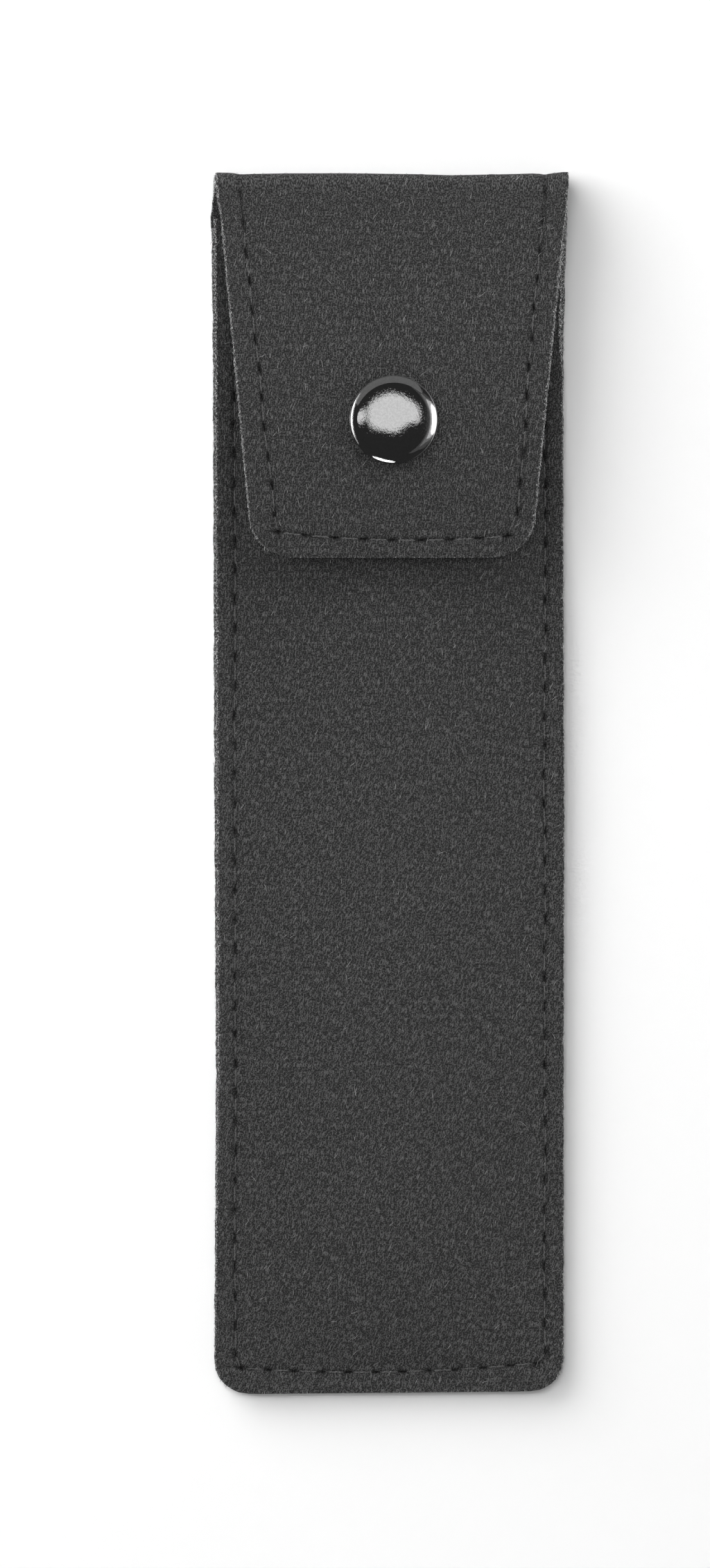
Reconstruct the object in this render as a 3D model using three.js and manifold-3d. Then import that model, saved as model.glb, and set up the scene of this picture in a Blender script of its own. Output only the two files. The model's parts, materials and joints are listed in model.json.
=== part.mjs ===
// Felt pencil case: a stitched felt pocket with a fold-over flap and a press snap.
// Lengths are in millimetres. X runs across the case, +Y towards the fold, +Z out of the front.
// The case lies on its back. The origin is the middle of its outline, on the table.
import * as THREE from 'three';
import Module from 'manifold-3d';
import { mergeVertices } from 'three/addons/utils/BufferGeometryUtils.js';

const wasm = await Module();
wasm.setup();

// Felt body
const caseWidth = 49.6;
const caseLength = 172.2;
const felt = 2;
const cornerRadius = 4.2;
const mouthDrop = 6.3;
const pocketHeight = 4.7;
const pocketRise = 26;
const bulgePower = 2.6;

// Flap: its length runs from the outer face of the fold, and its end width is at the lower edge
const flapLength = 54.1;
const flapEndWidth = 39.1;
const flapCornerRadius = 5.4;
const flapMouthGap = 1.1;
const flapEdgeGap = 1.9;

// Seams: each thread lies in a groove that its stitches press into the felt
const seamInset = 2.75;
const seamInsetBottom = 2.9;
const seamLand = 0.7;
const flapSeamInset = 3.1;
const flapSeamInsetBottom = 2.6;
const seamCornerRadius = 1.2;
const stitchPitch = 4;
const grooveWidth = 1;
const grooveDepth = 0.8;
const threadDiameter = 0.4;
const threadHighDepth = 0.28;
const threadLowDepth = 0.56;

// Snap: where its axis stands, and what each pressed part measures
const snapX = 0.5;
const snapDrop = 34.8;
const capDiameter = 12.5;
const capHeight = 2.5;
const capRimHeight = 0.9;
const capWall = 0.4;
const capLipReach = 1.6;
const capSink = 0.3;
const postFlangeDiameter = 10.6;
const postFlangeThickness = 0.4;
const barrelDiameter = 2.8;
const barrelBore = 1.8;
const socketDiameter = 10.6;
const socketHeight = 2.7;
const socketRoof = 0.5;
const socketEdgeRound = 0.5;
const socketSink = 0.6;
const springWire = 0.5;
const springGapAngle = 0.7;
const springChannelHeight = 0.8;
const springChannelDepth = 0.6;
const springChannelLift = 0.5;
const studDiameter = 10;
const studFlange = 0.8;
const studSink = 0.5;
const knobDiameter = 4.7;
const knobNeckDiameter = 4.2;
const knobHeight = 2.2;
const knobHeadHeight = 0.9;
const knobWall = 0.45;
const knobRound = 0.35;
const eyeletDiameter = 9;
const eyeletFlange = 0.7;
const eyeletSink = 0.4;
const feltHoleDiameter = 4;

// Clearances
const fitGap = 0.1;
const foldGap = 0.3;
const runGap = 0.3;
const snapPlay = 0.5;
const barrelPlay = 0.2;
const overrun = 3;

// Mesh fineness
const cornerSteps = 5;
const roundSteps = 24;
const foldSteps = 16;
const bulgeSteps = 7;
const flapSteps = 14;
const stitchSteps = 3;
const threadSides = 4;
const springSteps = 20;
const springSides = 6;
const mergeShare = 5e-5;

// Levels and places that follow from the sizes above
const caseTop = caseLength / 2;
const caseEnd = -caseLength / 2;
const foldAxisY = caseTop - felt / 2;
const mouthY = caseTop - mouthDrop;
const snapY = caseTop - snapDrop;
const flapEnd = caseTop - flapLength;
const pocketCeiling = felt + pocketHeight;
const frontTop = pocketCeiling + felt;
const flapBase = frontTop + flapMouthGap;
const flapEdge = frontTop + flapEdgeGap;
const lowerFoldZ = felt / 2;
const upperFoldZ = flapBase + felt / 2;
const bulgeHalf = caseWidth / 2 - seamInset - seamLand;
const bulgeStart = caseEnd + seamInsetBottom + seamLand;
const studSeat = frontTop - studSink;
const studBase = studSeat + fitGap;
const studFlangeTop = studBase + studFlange;
const knobTop = studFlangeTop + knobHeight;
const eyeletSeat = pocketCeiling + eyeletSink;
const eyeletTop = eyeletSeat - fitGap;
const socketBase = studFlangeTop + runGap;
const socketTop = socketBase + socketHeight;
const socketSeat = socketTop + fitGap;
const socketBore = knobDiameter / 2 + snapPlay;
const flapAtSnap = socketSeat - socketSink;
const capSeat = flapAtSnap + felt - capSink;
const capBase = capSeat + fitGap;
const capTop = capBase + capHeight;

const feltColour = 0x404040;
const threadColour = 0x2c2c2c;
const enamelColour = 0x111112;
const steelColour = 0x9a9a98;

// Height of the pocket's ceiling over the back panel's inner face, at a place on the case
function bulge(x, y) {
  const across = Math.min(Math.abs(x) / bulgeHalf, 1);
  const along = 1 - Math.min(Math.max((y - bulgeStart) / pocketRise, 0), 1);
  return pocketHeight * (1 - across ** bulgePower) * (1 - along ** bulgePower);
}

// Height of the flap's underside: highest at the snap, lower at the fold and at its free edge
function flapHeight(y) {
  const upper = y > snapY;
  const reach = upper ? foldAxisY - snapY : snapY - flapEnd;
  const drop = flapAtSnap - (upper ? flapBase : flapEdge);
  return flapAtSnap - drop * ((y - snapY) / reach) ** 2;
}

function solidOf(geometry) {
  const bare = geometry.clone();
  bare.deleteAttribute('normal');
  bare.deleteAttribute('uv');
  const merged = mergeVertices(bare, felt * mergeShare);
  return new wasm.Manifold(new wasm.Mesh({
    numProp: 3,
    vertProperties: new Float32Array(merged.attributes.position.array),
    triVerts: new Uint32Array(merged.index.array),
  }));
}

function geometryOf(solid) {
  const mesh = solid.getMesh();
  const geometry = new THREE.BufferGeometry();
  geometry.setAttribute('position', new THREE.BufferAttribute(mesh.vertProperties, mesh.numProp));
  geometry.setIndex(new THREE.BufferAttribute(mesh.triVerts, 1));
  geometry.computeVertexNormals();
  return geometry;
}

// An outline through corners given as [x, y, radius], anticlockwise
function roundedOutline(corners) {
  const shape = new THREE.Shape();
  corners.forEach(([x, y, radius], index) => {
    const corner = new THREE.Vector2(x, y);
    const before = corners[(index + corners.length - 1) % corners.length];
    const after = corners[(index + 1) % corners.length];
    const inward = new THREE.Vector2(before[0], before[1]).sub(corner).normalize();
    const outward = new THREE.Vector2(after[0], after[1]).sub(corner).normalize();
    const half = Math.acos(inward.dot(outward)) / 2;
    const reach = radius / Math.tan(half);
    const first = corner.clone().addScaledVector(inward, reach);
    const last = corner.clone().addScaledVector(outward, reach);
    if (index === 0) shape.moveTo(first.x, first.y);
    else shape.lineTo(first.x, first.y);
    if (radius > 0) {
      const middle = inward.clone().add(outward).normalize();
      const centre = corner.clone().addScaledVector(middle, radius / Math.sin(half));
      const from = first.clone().sub(centre).angle();
      const to = last.clone().sub(centre).angle();
      shape.absarc(centre.x, centre.y, radius, from, to, false);
    }
  });
  shape.closePath();
  return shape;
}

// An upright slab of an outline, from one level to another
function slab(shape, bottom, top) {
  const options = { depth: top - bottom, bevelEnabled: false, curveSegments: cornerSteps };
  return solidOf(new THREE.ExtrudeGeometry(shape, options).translate(0, 0, bottom));
}

// A layer that curves along Y between two heights and runs straight across the case
function curvedLayer(fromY, toY, bottomAt, topAt) {
  const shape = new THREE.Shape();
  for (let step = 0; step <= flapSteps; step += 1) {
    const y = fromY + (toY - fromY) * (step / flapSteps);
    if (step === 0) shape.moveTo(y, bottomAt(y));
    else shape.lineTo(y, bottomAt(y));
  }
  for (let step = flapSteps; step >= 0; step -= 1) {
    const y = fromY + (toY - fromY) * (step / flapSteps);
    shape.lineTo(y, topAt(y));
  }
  shape.closePath();
  const width = caseWidth + 2 * overrun;
  const geometry = new THREE.ExtrudeGeometry(shape, { depth: width, bevelEnabled: false });
  const across = new THREE.Matrix4().makeBasis(
    new THREE.Vector3(0, 1, 0),
    new THREE.Vector3(0, 0, 1),
    new THREE.Vector3(1, 0, 0),
  );
  return solidOf(geometry.applyMatrix4(across).translate(-width / 2, 0, 0));
}

// A round bar across the case: the end of a felt panel that turns at a fold
function foldRound(z) {
  const bar = new THREE.CylinderGeometry(felt / 2, felt / 2, caseWidth, foldSteps);
  return solidOf(bar.rotateZ(Math.PI / 2).translate(0, foldAxisY, z));
}

function snapCylinder(diameter, bottom, top) {
  const bar = new THREE.CylinderGeometry(diameter / 2, diameter / 2, top - bottom, roundSteps);
  return solidOf(bar.rotateX(Math.PI / 2).translate(snapX, snapY, (bottom + top) / 2));
}

// A turned part on the snap's axis, from a profile of [radius, level] points
function snapTurning(profile) {
  const points = profile.map(([radius, level]) => new THREE.Vector2(radius, level));
  const turned = new THREE.LatheGeometry(points, roundSteps);
  return turned.rotateX(Math.PI / 2).translate(snapX, snapY, 0);
}

// The pocket's outline, drawn in by an inset at the sides and at the lower edge
function pocketOutline(top, inset, insetBottom, radius) {
  const half = caseWidth / 2 - inset;
  const bottom = caseEnd + insetBottom;
  return roundedOutline([
    [half, top, 0],
    [-half, top, 0],
    [-half, bottom, radius],
    [half, bottom, radius],
  ]);
}

// Half the flap's width at a place along it
function flapHalf(y) {
  const share = (foldAxisY - y) / (foldAxisY - flapEnd);
  return caseWidth / 2 + (flapEndWidth / 2 - caseWidth / 2) * share;
}

function flapOutline(top, inset, insetBottom, radius) {
  const bottom = flapEnd + insetBottom;
  return roundedOutline([
    [flapHalf(top) - inset, top, 0],
    [inset - flapHalf(top), top, 0],
    [inset - flapHalf(bottom), bottom, radius],
    [flapHalf(bottom) - inset, bottom, radius],
  ]);
}

// The band between two outlines of a seam, open at the top
function seamBand(outlineOf, inset, insetBottom) {
  const side = grooveWidth / 2;
  const band = outlineOf(caseTop + overrun, inset - side, insetBottom - side, seamCornerRadius + side);
  const inner = outlineOf(caseTop + 2 * overrun, inset + side, insetBottom + side, seamCornerRadius - side);
  return { band, inner };
}

function seamGroove(outlineOf, inset, insetBottom, bottom, top) {
  const { band, inner } = seamBand(outlineOf, inset, insetBottom);
  return slab(band, bottom, top).subtract(slab(inner, bottom - overrun, top + overrun));
}

// A row of stitches along a seam: the thread dips into the felt at each needle hole
class StitchedCurve extends THREE.Curve {
  constructor(route, count, surfaceAt, side) {
    super();
    Object.assign(this, { route, count, surfaceAt, side });
  }

  getPoint(share) {
    const spot = this.route.getPoint(share);
    const dip = (1 + Math.cos(share * this.count * 2 * Math.PI)) / 2;
    const depth = threadHighDepth + (threadLowDepth - threadHighDepth) * dip;
    return new THREE.Vector3(spot.x, spot.y, this.surfaceAt(spot.y) - this.side * depth);
  }
}

// The way of a seam: down one side, across the lower edge and up the other side
function seamRoute(outlineOf, top, inset, insetBottom) {
  const pieces = outlineOf(top, inset, insetBottom, seamCornerRadius).curves;
  const route = new THREE.CurvePath();
  pieces.slice(1).forEach((piece) => route.add(piece));
  return route;
}

function polygon(diameter, sides) {
  const shape = new THREE.Shape();
  for (let side = 0; side < sides; side += 1) {
    const angle = (side + 0.5) * (2 * Math.PI / sides);
    const x = diameter / 2 * Math.cos(angle);
    const y = diameter / 2 * Math.sin(angle);
    if (side === 0) shape.moveTo(x, y);
    else shape.lineTo(x, y);
  }
  shape.closePath();
  return shape;
}

function stitches(route, surfaceAt, side) {
  const count = Math.round(route.getLength() / stitchPitch);
  const extrudePath = new StitchedCurve(route, count, surfaceAt, side);
  return new THREE.ExtrudeGeometry(polygon(threadDiameter, threadSides), {
    steps: count * stitchSteps,
    extrudePath,
  });
}

function backPanel() {
  const outline = pocketOutline(foldAxisY, 0, 0, cornerRadius);
  const groove = seamGroove(pocketOutline, seamInset, seamInsetBottom, -overrun, grooveDepth);
  return geometryOf(slab(outline, 0, felt).add(foldRound(lowerFoldZ)).subtract(groove));
}

// The front panel as a grid of cells that follows the bulge, one felt thick
function frontSheet() {
  const xs = [-caseWidth / 2 - overrun];
  for (let step = -bulgeSteps; step <= bulgeSteps; step += 1) {
    xs.push(bulgeHalf * Math.sin((step / bulgeSteps) * (Math.PI / 2)));
  }
  xs.push(caseWidth / 2 + overrun);
  const ys = [caseEnd - overrun];
  for (let step = 0; step <= bulgeSteps; step += 1) {
    ys.push(bulgeStart + pocketRise * (1 - Math.cos((step / bulgeSteps) * (Math.PI / 2))));
  }
  ys.push(mouthY);
  const sheet = new THREE.BoxGeometry(1, 1, 1, xs.length - 1, ys.length - 1, 1);
  const places = sheet.attributes.position;
  for (let index = 0; index < places.count; index += 1) {
    const x = xs[Math.round((places.getX(index) + 0.5) * (xs.length - 1))];
    const y = ys[Math.round((places.getY(index) + 0.5) * (ys.length - 1))];
    const upper = places.getZ(index) > 0 ? felt : 0;
    places.setXYZ(index, x, y, felt + upper + bulge(x, y));
  }
  return solidOf(sheet);
}

function frontPanel() {
  const outline = pocketOutline(mouthY + overrun, 0, 0, cornerRadius);
  const top = 2 * felt;
  const cuts = [
    seamGroove(pocketOutline, seamInset, seamInsetBottom, top - grooveDepth, top + overrun),
    snapCylinder(studDiameter + 2 * fitGap, studSeat, frontTop + overrun),
    snapCylinder(eyeletDiameter + 2 * fitGap, pocketCeiling - overrun, eyeletSeat),
    snapCylinder(feltHoleDiameter, pocketCeiling - overrun, frontTop + overrun),
  ];
  const sheet = frontSheet().intersect(slab(outline, 0, frontTop + overrun));
  return geometryOf(cuts.reduce((solid, cut) => solid.subtract(cut), sheet));
}

function foldStrip() {
  const bottom = lowerFoldZ + felt / 2 + foldGap;
  const top = upperFoldZ - felt / 2 - foldGap;
  const strip = new THREE.BoxGeometry(caseWidth, felt, top - bottom);
  return strip.translate(0, foldAxisY, (bottom + top) / 2);
}

// A layer of the flap between two depths over its underside
function flapLayer(from, to) {
  const bottomAt = (y) => flapHeight(y) + from;
  const topAt = (y) => flapHeight(y) + to;
  return curvedLayer(flapEnd - overrun, foldAxisY, bottomAt, topAt);
}

function flapPanel() {
  const outline = flapOutline(foldAxisY, 0, 0, flapCornerRadius);
  const low = flapEdge - 2 * overrun;
  const high = capTop + 2 * overrun;
  const grooves = seamGroove(flapOutline, flapSeamInset, flapSeamInsetBottom, low, high);
  const cuts = [
    grooves.intersect(flapLayer(felt - grooveDepth, felt + overrun)),
    grooves.intersect(flapLayer(-overrun, grooveDepth)),
    snapCylinder(capDiameter + 2 * fitGap, capSeat, capTop),
    snapCylinder(socketDiameter + 2 * fitGap, socketBase, socketSeat),
    snapCylinder(feltHoleDiameter, socketBase, capTop),
  ];
  const sheet = slab(outline, low, high).intersect(flapLayer(0, felt)).add(foldRound(upperFoldZ));
  return geometryOf(cuts.reduce((solid, cut) => solid.subtract(cut), sheet));
}

// The snap's cap: a pressed dome whose rim is rolled under the post's flange
function snapCap() {
  const rim = capDiameter / 2;
  const inner = rim - capWall;
  const lip = rim - capLipReach;
  const rise = capHeight - capRimHeight;
  const outside = [];
  const inside = [];
  for (let step = 0; step <= cornerSteps; step += 1) {
    const share = Math.sin((step / cornerSteps) * (Math.PI / 2));
    outside.push([rim * share, capTop - rise * (1 - Math.sqrt(1 - share ** 2))]);
    inside.push([inner * share, capTop - capWall - (rise - capWall) * (1 - Math.sqrt(1 - share ** 2))]);
  }
  return snapTurning([
    ...inside,
    [inner, capBase + capWall],
    [lip, capBase + capWall],
    [lip, capBase],
    [rim - capWall, capBase],
    [rim, capBase + capWall],
    ...outside.reverse(),
  ]);
}

function snapPost() {
  const flangeBase = capBase + capWall + fitGap;
  const flangeTop = flangeBase + postFlangeThickness;
  const end = socketTop - socketRoof + fitGap;
  return snapTurning([
    [0, flangeTop - postFlangeThickness / 2],
    [barrelBore / 2, flangeTop - postFlangeThickness / 2],
    [barrelBore / 2, end],
    [barrelDiameter / 2, end],
    [barrelDiameter / 2, flangeBase],
    [postFlangeDiameter / 2, flangeBase],
    [postFlangeDiameter / 2, flangeTop],
    [0, flangeTop],
  ]);
}

// The snap's socket: a ring with a channel inside for the spring, and a pierced roof
function snapSocket() {
  const outer = socketDiameter / 2;
  const roof = socketTop - socketRoof;
  const hole = barrelDiameter / 2 + barrelPlay;
  const channelBase = socketBase + springChannelLift;
  const channelTop = channelBase + springChannelHeight;
  return snapTurning([
    [socketBore, socketBase],
    [outer - socketEdgeRound, socketBase],
    [outer, socketBase + socketEdgeRound],
    [outer, socketTop],
    [hole, socketTop],
    [hole, roof],
    [socketBore, roof],
    [socketBore, channelTop],
    [socketBore + springChannelDepth, channelTop],
    [socketBore + springChannelDepth, channelBase],
    [socketBore, channelBase],
    [socketBore, socketBase],
  ]);
}

// The spring's wire: an open ring in the socket's channel
class RingCurve extends THREE.Curve {
  getPoint(share) {
    const radius = socketBore + springChannelDepth - fitGap - springWire / 2;
    const angle = springGapAngle / 2 + (2 * Math.PI - springGapAngle) * share;
    const level = socketBase + springChannelLift + springChannelHeight / 2;
    return new THREE.Vector3(
      snapX + radius * Math.cos(angle),
      snapY + radius * Math.sin(angle),
      level,
    );
  }
}

function snapSpring() {
  return new THREE.ExtrudeGeometry(polygon(springWire, springSides), {
    steps: springSteps,
    extrudePath: new RingCurve(),
  });
}

// The snap's stud: a flange on the felt and a hollow knob over the eyelet's barrel
function snapStud() {
  const neck = knobNeckDiameter / 2;
  const head = knobDiameter / 2;
  const hollow = neck - knobWall;
  return snapTurning([
    [0, knobTop - knobWall],
    [hollow, knobTop - knobWall],
    [hollow, studBase],
    [studDiameter / 2, studBase],
    [studDiameter / 2, studFlangeTop - fitGap],
    [studDiameter / 2 - fitGap, studFlangeTop],
    [neck, studFlangeTop],
    [neck, knobTop - knobHeadHeight - knobRound],
    [head, knobTop - knobHeadHeight],
    [head, knobTop - knobRound],
    [head - knobRound, knobTop],
    [0, knobTop],
  ]);
}

function snapEyelet() {
  const end = knobTop - knobWall - runGap;
  return snapTurning([
    [barrelBore / 2, eyeletTop - eyeletFlange],
    [eyeletDiameter / 2, eyeletTop - eyeletFlange],
    [eyeletDiameter / 2, eyeletTop],
    [barrelDiameter / 2, eyeletTop],
    [barrelDiameter / 2, end],
    [barrelBore / 2, end],
    [barrelBore / 2, eyeletTop - eyeletFlange],
  ]);
}

function seamThread(top, surface, side) {
  const route = seamRoute(pocketOutline, top - stitchPitch / 2, seamInset, seamInsetBottom);
  return stitches(route, () => surface, side);
}

function flapThread(depth, side) {
  const top = foldAxisY - stitchPitch / 2;
  const route = seamRoute(flapOutline, top, flapSeamInset, flapSeamInsetBottom);
  return stitches(route, (y) => flapHeight(y) + depth, side);
}

function material(color, roughness, metalness) {
  return new THREE.MeshStandardMaterial({ color, roughness, metalness });
}

const feltMaterial = material(feltColour, 0.95, 0);
const threadMaterial = material(threadColour, 0.8, 0);
const enamelMaterial = material(enamelColour, 0.12, 0.5);
const steelMaterial = material(steelColour, 0.35, 1);

const pencilCase = new THREE.Group();

function addPiece(name, geometry, surface) {
  const mesh = new THREE.Mesh(geometry, surface);
  mesh.name = name;
  pencilCase.add(mesh);
}

addPiece('back_panel', backPanel(), feltMaterial);
addPiece('front_panel', frontPanel(), feltMaterial);
addPiece('fold_strip', foldStrip(), feltMaterial);
addPiece('flap_panel', flapPanel(), feltMaterial);
addPiece('snap_cap', snapCap(), enamelMaterial);
addPiece('snap_cap_post', snapPost(), steelMaterial);
addPiece('snap_socket', snapSocket(), steelMaterial);
addPiece('snap_spring', snapSpring(), steelMaterial);
addPiece('snap_stud', snapStud(), steelMaterial);
addPiece('snap_eyelet', snapEyelet(), steelMaterial);
addPiece('seam_thread_front', seamThread(mouthY, 2 * felt, 1), threadMaterial);
addPiece('seam_thread_back', seamThread(foldAxisY, 0, -1), threadMaterial);
addPiece('flap_thread_outer', flapThread(felt, 1), threadMaterial);
addPiece('flap_thread_inner', flapThread(0, -1), threadMaterial);

export default pencilCase;
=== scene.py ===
"""A slim pencil case of dark grey felt with a press snap, lying on its back with the flap shut.

x runs across the case, y along it and z up. Lengths are in millimetres until a mesh is made.
"""

import json
import math
from dataclasses import dataclass
from typing import Callable

import bpy
import numpy as np
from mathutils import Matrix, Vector


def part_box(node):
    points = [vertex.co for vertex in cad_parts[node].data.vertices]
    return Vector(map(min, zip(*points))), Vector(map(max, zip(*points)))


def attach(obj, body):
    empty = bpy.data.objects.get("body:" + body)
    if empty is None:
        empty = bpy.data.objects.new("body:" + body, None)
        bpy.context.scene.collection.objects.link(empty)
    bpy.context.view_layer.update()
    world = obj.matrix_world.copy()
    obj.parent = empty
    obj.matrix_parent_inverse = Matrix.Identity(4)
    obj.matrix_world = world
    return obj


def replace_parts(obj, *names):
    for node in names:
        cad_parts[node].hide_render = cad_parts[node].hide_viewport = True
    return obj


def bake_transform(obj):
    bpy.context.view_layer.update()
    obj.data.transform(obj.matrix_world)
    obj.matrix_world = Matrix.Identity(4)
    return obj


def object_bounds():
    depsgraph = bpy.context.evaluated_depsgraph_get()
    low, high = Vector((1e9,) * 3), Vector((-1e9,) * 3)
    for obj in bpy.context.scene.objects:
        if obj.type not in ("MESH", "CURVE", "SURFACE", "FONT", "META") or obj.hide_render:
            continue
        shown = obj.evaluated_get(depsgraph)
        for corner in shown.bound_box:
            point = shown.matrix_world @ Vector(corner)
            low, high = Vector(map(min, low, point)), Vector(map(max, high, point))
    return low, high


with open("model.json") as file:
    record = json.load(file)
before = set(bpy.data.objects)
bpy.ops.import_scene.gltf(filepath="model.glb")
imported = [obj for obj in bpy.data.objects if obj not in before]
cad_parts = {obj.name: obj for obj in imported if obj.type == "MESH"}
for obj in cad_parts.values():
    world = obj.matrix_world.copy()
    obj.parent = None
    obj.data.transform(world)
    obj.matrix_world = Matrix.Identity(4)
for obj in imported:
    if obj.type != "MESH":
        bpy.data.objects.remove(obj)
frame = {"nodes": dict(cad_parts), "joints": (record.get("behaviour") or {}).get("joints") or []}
cad_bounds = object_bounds()

MM = 0.001


def node_box(name):
    """A solid's lowest and highest corner, in millimetres."""
    low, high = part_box(name)
    return np.array(low) / MM, np.array(high) / MM


# Sizes that come from the frame

case_low, case_high = (np.array(corner) / MM for corner in cad_bounds)
strip_low, strip_high = node_box("fold_strip")
front_high = node_box("front_panel")[1]
flap_low, flap_high = node_box("flap_panel")
cap_low, cap_high = node_box("snap_cap")
socket_low, socket_high = node_box("snap_socket")
spring_low, spring_high = node_box("snap_spring")
stud_low, stud_high = node_box("snap_stud")
eyelet_low, eyelet_high = node_box("snap_eyelet")
hinge_low, hinge_high = (np.array(joint["pos_m"]) / MM for joint in frame["joints"])

FELT = strip_high[1] - strip_low[1]
CASE_HALF = case_high[0]
CASE_END = case_low[1]
CASE_TOP = case_high[1]
MOUTH = front_high[1]
FLAP_END = flap_low[1]
SNAP = (cap_low + cap_high) / 2
CAP_RADIUS = (cap_high[0] - cap_low[0]) / 2

# Shape of the felt

POCKET_HEIGHT = front_high[2] - 2 * FELT
POCKET_RISE = 26
BULGE_HALF = 21.4
BULGE_START = CASE_END + 3.6
CORNER_RADIUS = 4.7
FLAP_CORNER_RADIUS = 5.4
FOLD_RADIUS = 2.3
FLAP_AT_FOLD = hinge_high[2]
FLAP_AT_SNAP = flap_high[2] - FELT / 2
FLAP_END_DROP = 1.4
FLAP_SIDE_DROOP = 0.7
BULGE_POWER = 1.35
RISE_POWER = 2.2
DROOP_POWER = 2.5
FOLD_POWER = 4

# Outline of the sewn body and of the flap, as the photograph shows it

BODY_EDGE_Y = (-80, -40, 0, 60, 79.5)
BODY_LEFT = (-24.74, -24.57, -24.82, -25.0, -25.25)
BODY_RIGHT = (24.5, 24.4, 24.44, 24.46, 24.95)
FLAP_EDGE_Y = (84.5, 80, 38.4, 30)
FLAP_LEFT = (-24.8, -23.83, -19.92, -19.12)
FLAP_RIGHT = (25.05, 24.66, 20.5, 19.7)
FOLD_LEFT = (-24.85, -24.65)
FOLD_RIGHT = (24.95, 25.0)
END_TILT = 0.009
END_TILT_REACH = 25
FOLD_PUSH_X = (-24.4, -22.4, -20.8, -15, -6, 3.7, 8.6, 17.4, 20.3, 22, 24.5)
FOLD_PUSH = (0.16, 0.14, -0.06, 0.05, 0.07, -0.07, -0.22, -0.05, 0.04, -0.04, 0.24)

# How far each side's cut face leans in towards its upper edge

LEAN_Y = (-80, -40, 0, 30, 58, 64, 73, 79)
LEAN_LEFT = (0.15, 0.5, 0.6, 0.55, 0.58, 0.61, 0.66, 0.68)
LEAN_RIGHT = (0.1, -0.05, -0.1, 0.1, 0.18, 0.7, 0.75, 0.2)
FLAP_LEAN = 0.18
EAR_LEAN = 0.25
EAR_REACH = 2.5
RIGHT_LEAN_START = 9

# Rims of a sheet: share of its half thickness, and how far the felt stands out there

EDGE_ROUND = ((1, 0), (0.84, 0.08), (0.45, 0.12), (0, 0.13), (-0.45, 0.12), (-0.84, 0.08), (-1, 0))
END_ROUND = ((0.84, 0.04), (0.45, 0.06), (0.06, 0.07))
# Painted shade along the line where two sewn layers meet, on the inner rim of each sheet: where it
# lies and how dark it is.
LAYER_LINE_SHARES = (-0.84, -0.45)
LAYER_SHADE = 0.6

# Unevenness, as waves of a length and a size

WAVE_SHARES = (1, 0.63, 0.41, 0.27)
RAGGED_WAVES = ((9, 0.035), (1.7, 0.028))
SEAM_WANDER = (37, 0.05)
SEAM_SEED = 11
HOLE_SEED = 7

# Seams: needle holes a stitch apart

STITCH = 4.07
BODY_SEAM_X = 21.9
BODY_SEAM_END = -80.6
BODY_CORNER = ((-21.1, -82.5), (20.8, -82.1))
BODY_END_SAG = 0.9
BODY_END_STITCHES = 11
FLAP_SEAM_TOP = (-21.3, 21.8)
FLAP_SEAM_LOW = ((-16.35, 38.0), (18.0, 38.4))
FLAP_CORNER = ((-15.93, 35.5), (16.6, 34.95))
FLAP_END_SAG = 0.8
FLAP_END_STITCHES = 8
SEAM_SAG = 0.1
SEAM_SAG_REACH = 1.1
HOLE_STRAY = 0.06
GROOVE_DEPTH = 0.16
GROOVE_REACH = 0.27
# GROOVE_SHADE is painted shade that darkens the seam groove in colour. HOLE_REACH and HOLE_LENGTH
# size both the dent and the dark dash painted at each needle hole.
GROOVE_SHADE = 0.45
HOLE_DEPTH = 0.5
INNER_HOLE_DEPTH = 0.2
HOLE_REACH = 0.24
HOLE_LENGTH = 0.95
THREAD_RADIUS = 0.13
THREAD_DEPTH = 0.3
THREAD_HOLE_DEPTH = 1.05
THREAD_RISE_SHARE = 0.31
THREAD_PLIES = 2
THREAD_TWIST = 4.5
FOLD_EASE = 0.6
CUT_REACH = 0.2
CUT_SPILL = 0.55

# Loose fibres, with a drawn size as its middle and spread, or as its least and most

FIBRE_RADIUS = 0.026
LYING_INSET = 0.4
LYING_HEADING = (70, 22)
LYING_CURL = (0, 0.35)
LYING_LENGTH = (0.3, 1.2)
LYING_HEIGHT = 0.01
LYING_LIFT = 0.07
EDGE_LEVEL_SHARES = (-0.85, 1)
EDGE_OUT = 0.12
EDGE_REACH = (0.02, 0.06)
EDGE_DRIFT = 0.25
EDGE_RISE = (0.05, 0.12)
EDGE_CURL = 1.9
FUZZ_OVERHANG = 3
FUZZ_INSET = 1

# Mesh spacing

ROW_STEP = 0.55
COLUMN_STEP = 0.6
FINE_STEP = 0.2
FINE_REACH = 0.9
EDGE_BAND = 6
END_FADE = 1.5
BACK_POINTS = 200
ARC_POINTS = 24
WALL_POINTS = 12
FLAP_POINTS = 160
FRONT_POINTS = 60
THREAD_POINTS = 25
THREAD_SIDES = 8
LYING_POINTS = 8
EDGE_POINTS = 5
FIBRE_SIDES = 3
FELT_SHARP_ANGLE = 50
METAL_SHARP_ANGLE = 40


def smooth(share):
    """A share held between 0 and 1 and eased at both ends."""
    share = np.clip(share, 0, 1)
    return share * share * (3 - 2 * share)


def wobble(at, wavelength, size, seed):
    """An uneven but smooth line, made of a few waves of seeded phase."""
    chance = np.random.default_rng(seed)
    total = np.zeros_like(at, dtype=float)
    for stretch in WAVE_SHARES:
        phase = chance.uniform(0, 2 * math.pi)
        total += np.sin(2 * math.pi * at / (wavelength * stretch) + phase) * stretch
    return total * size


def graded(start, stop, coarse, fine, places, reach):
    """Values from start to stop, set closer together near the given places."""
    values = [start]
    while values[-1] < stop:
        near = any(abs(values[-1] - place) < reach for place in places)
        values.append(values[-1] + (fine if near else coarse))
    values[-1] = stop
    return np.array(values)


# Sheets of felt


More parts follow.
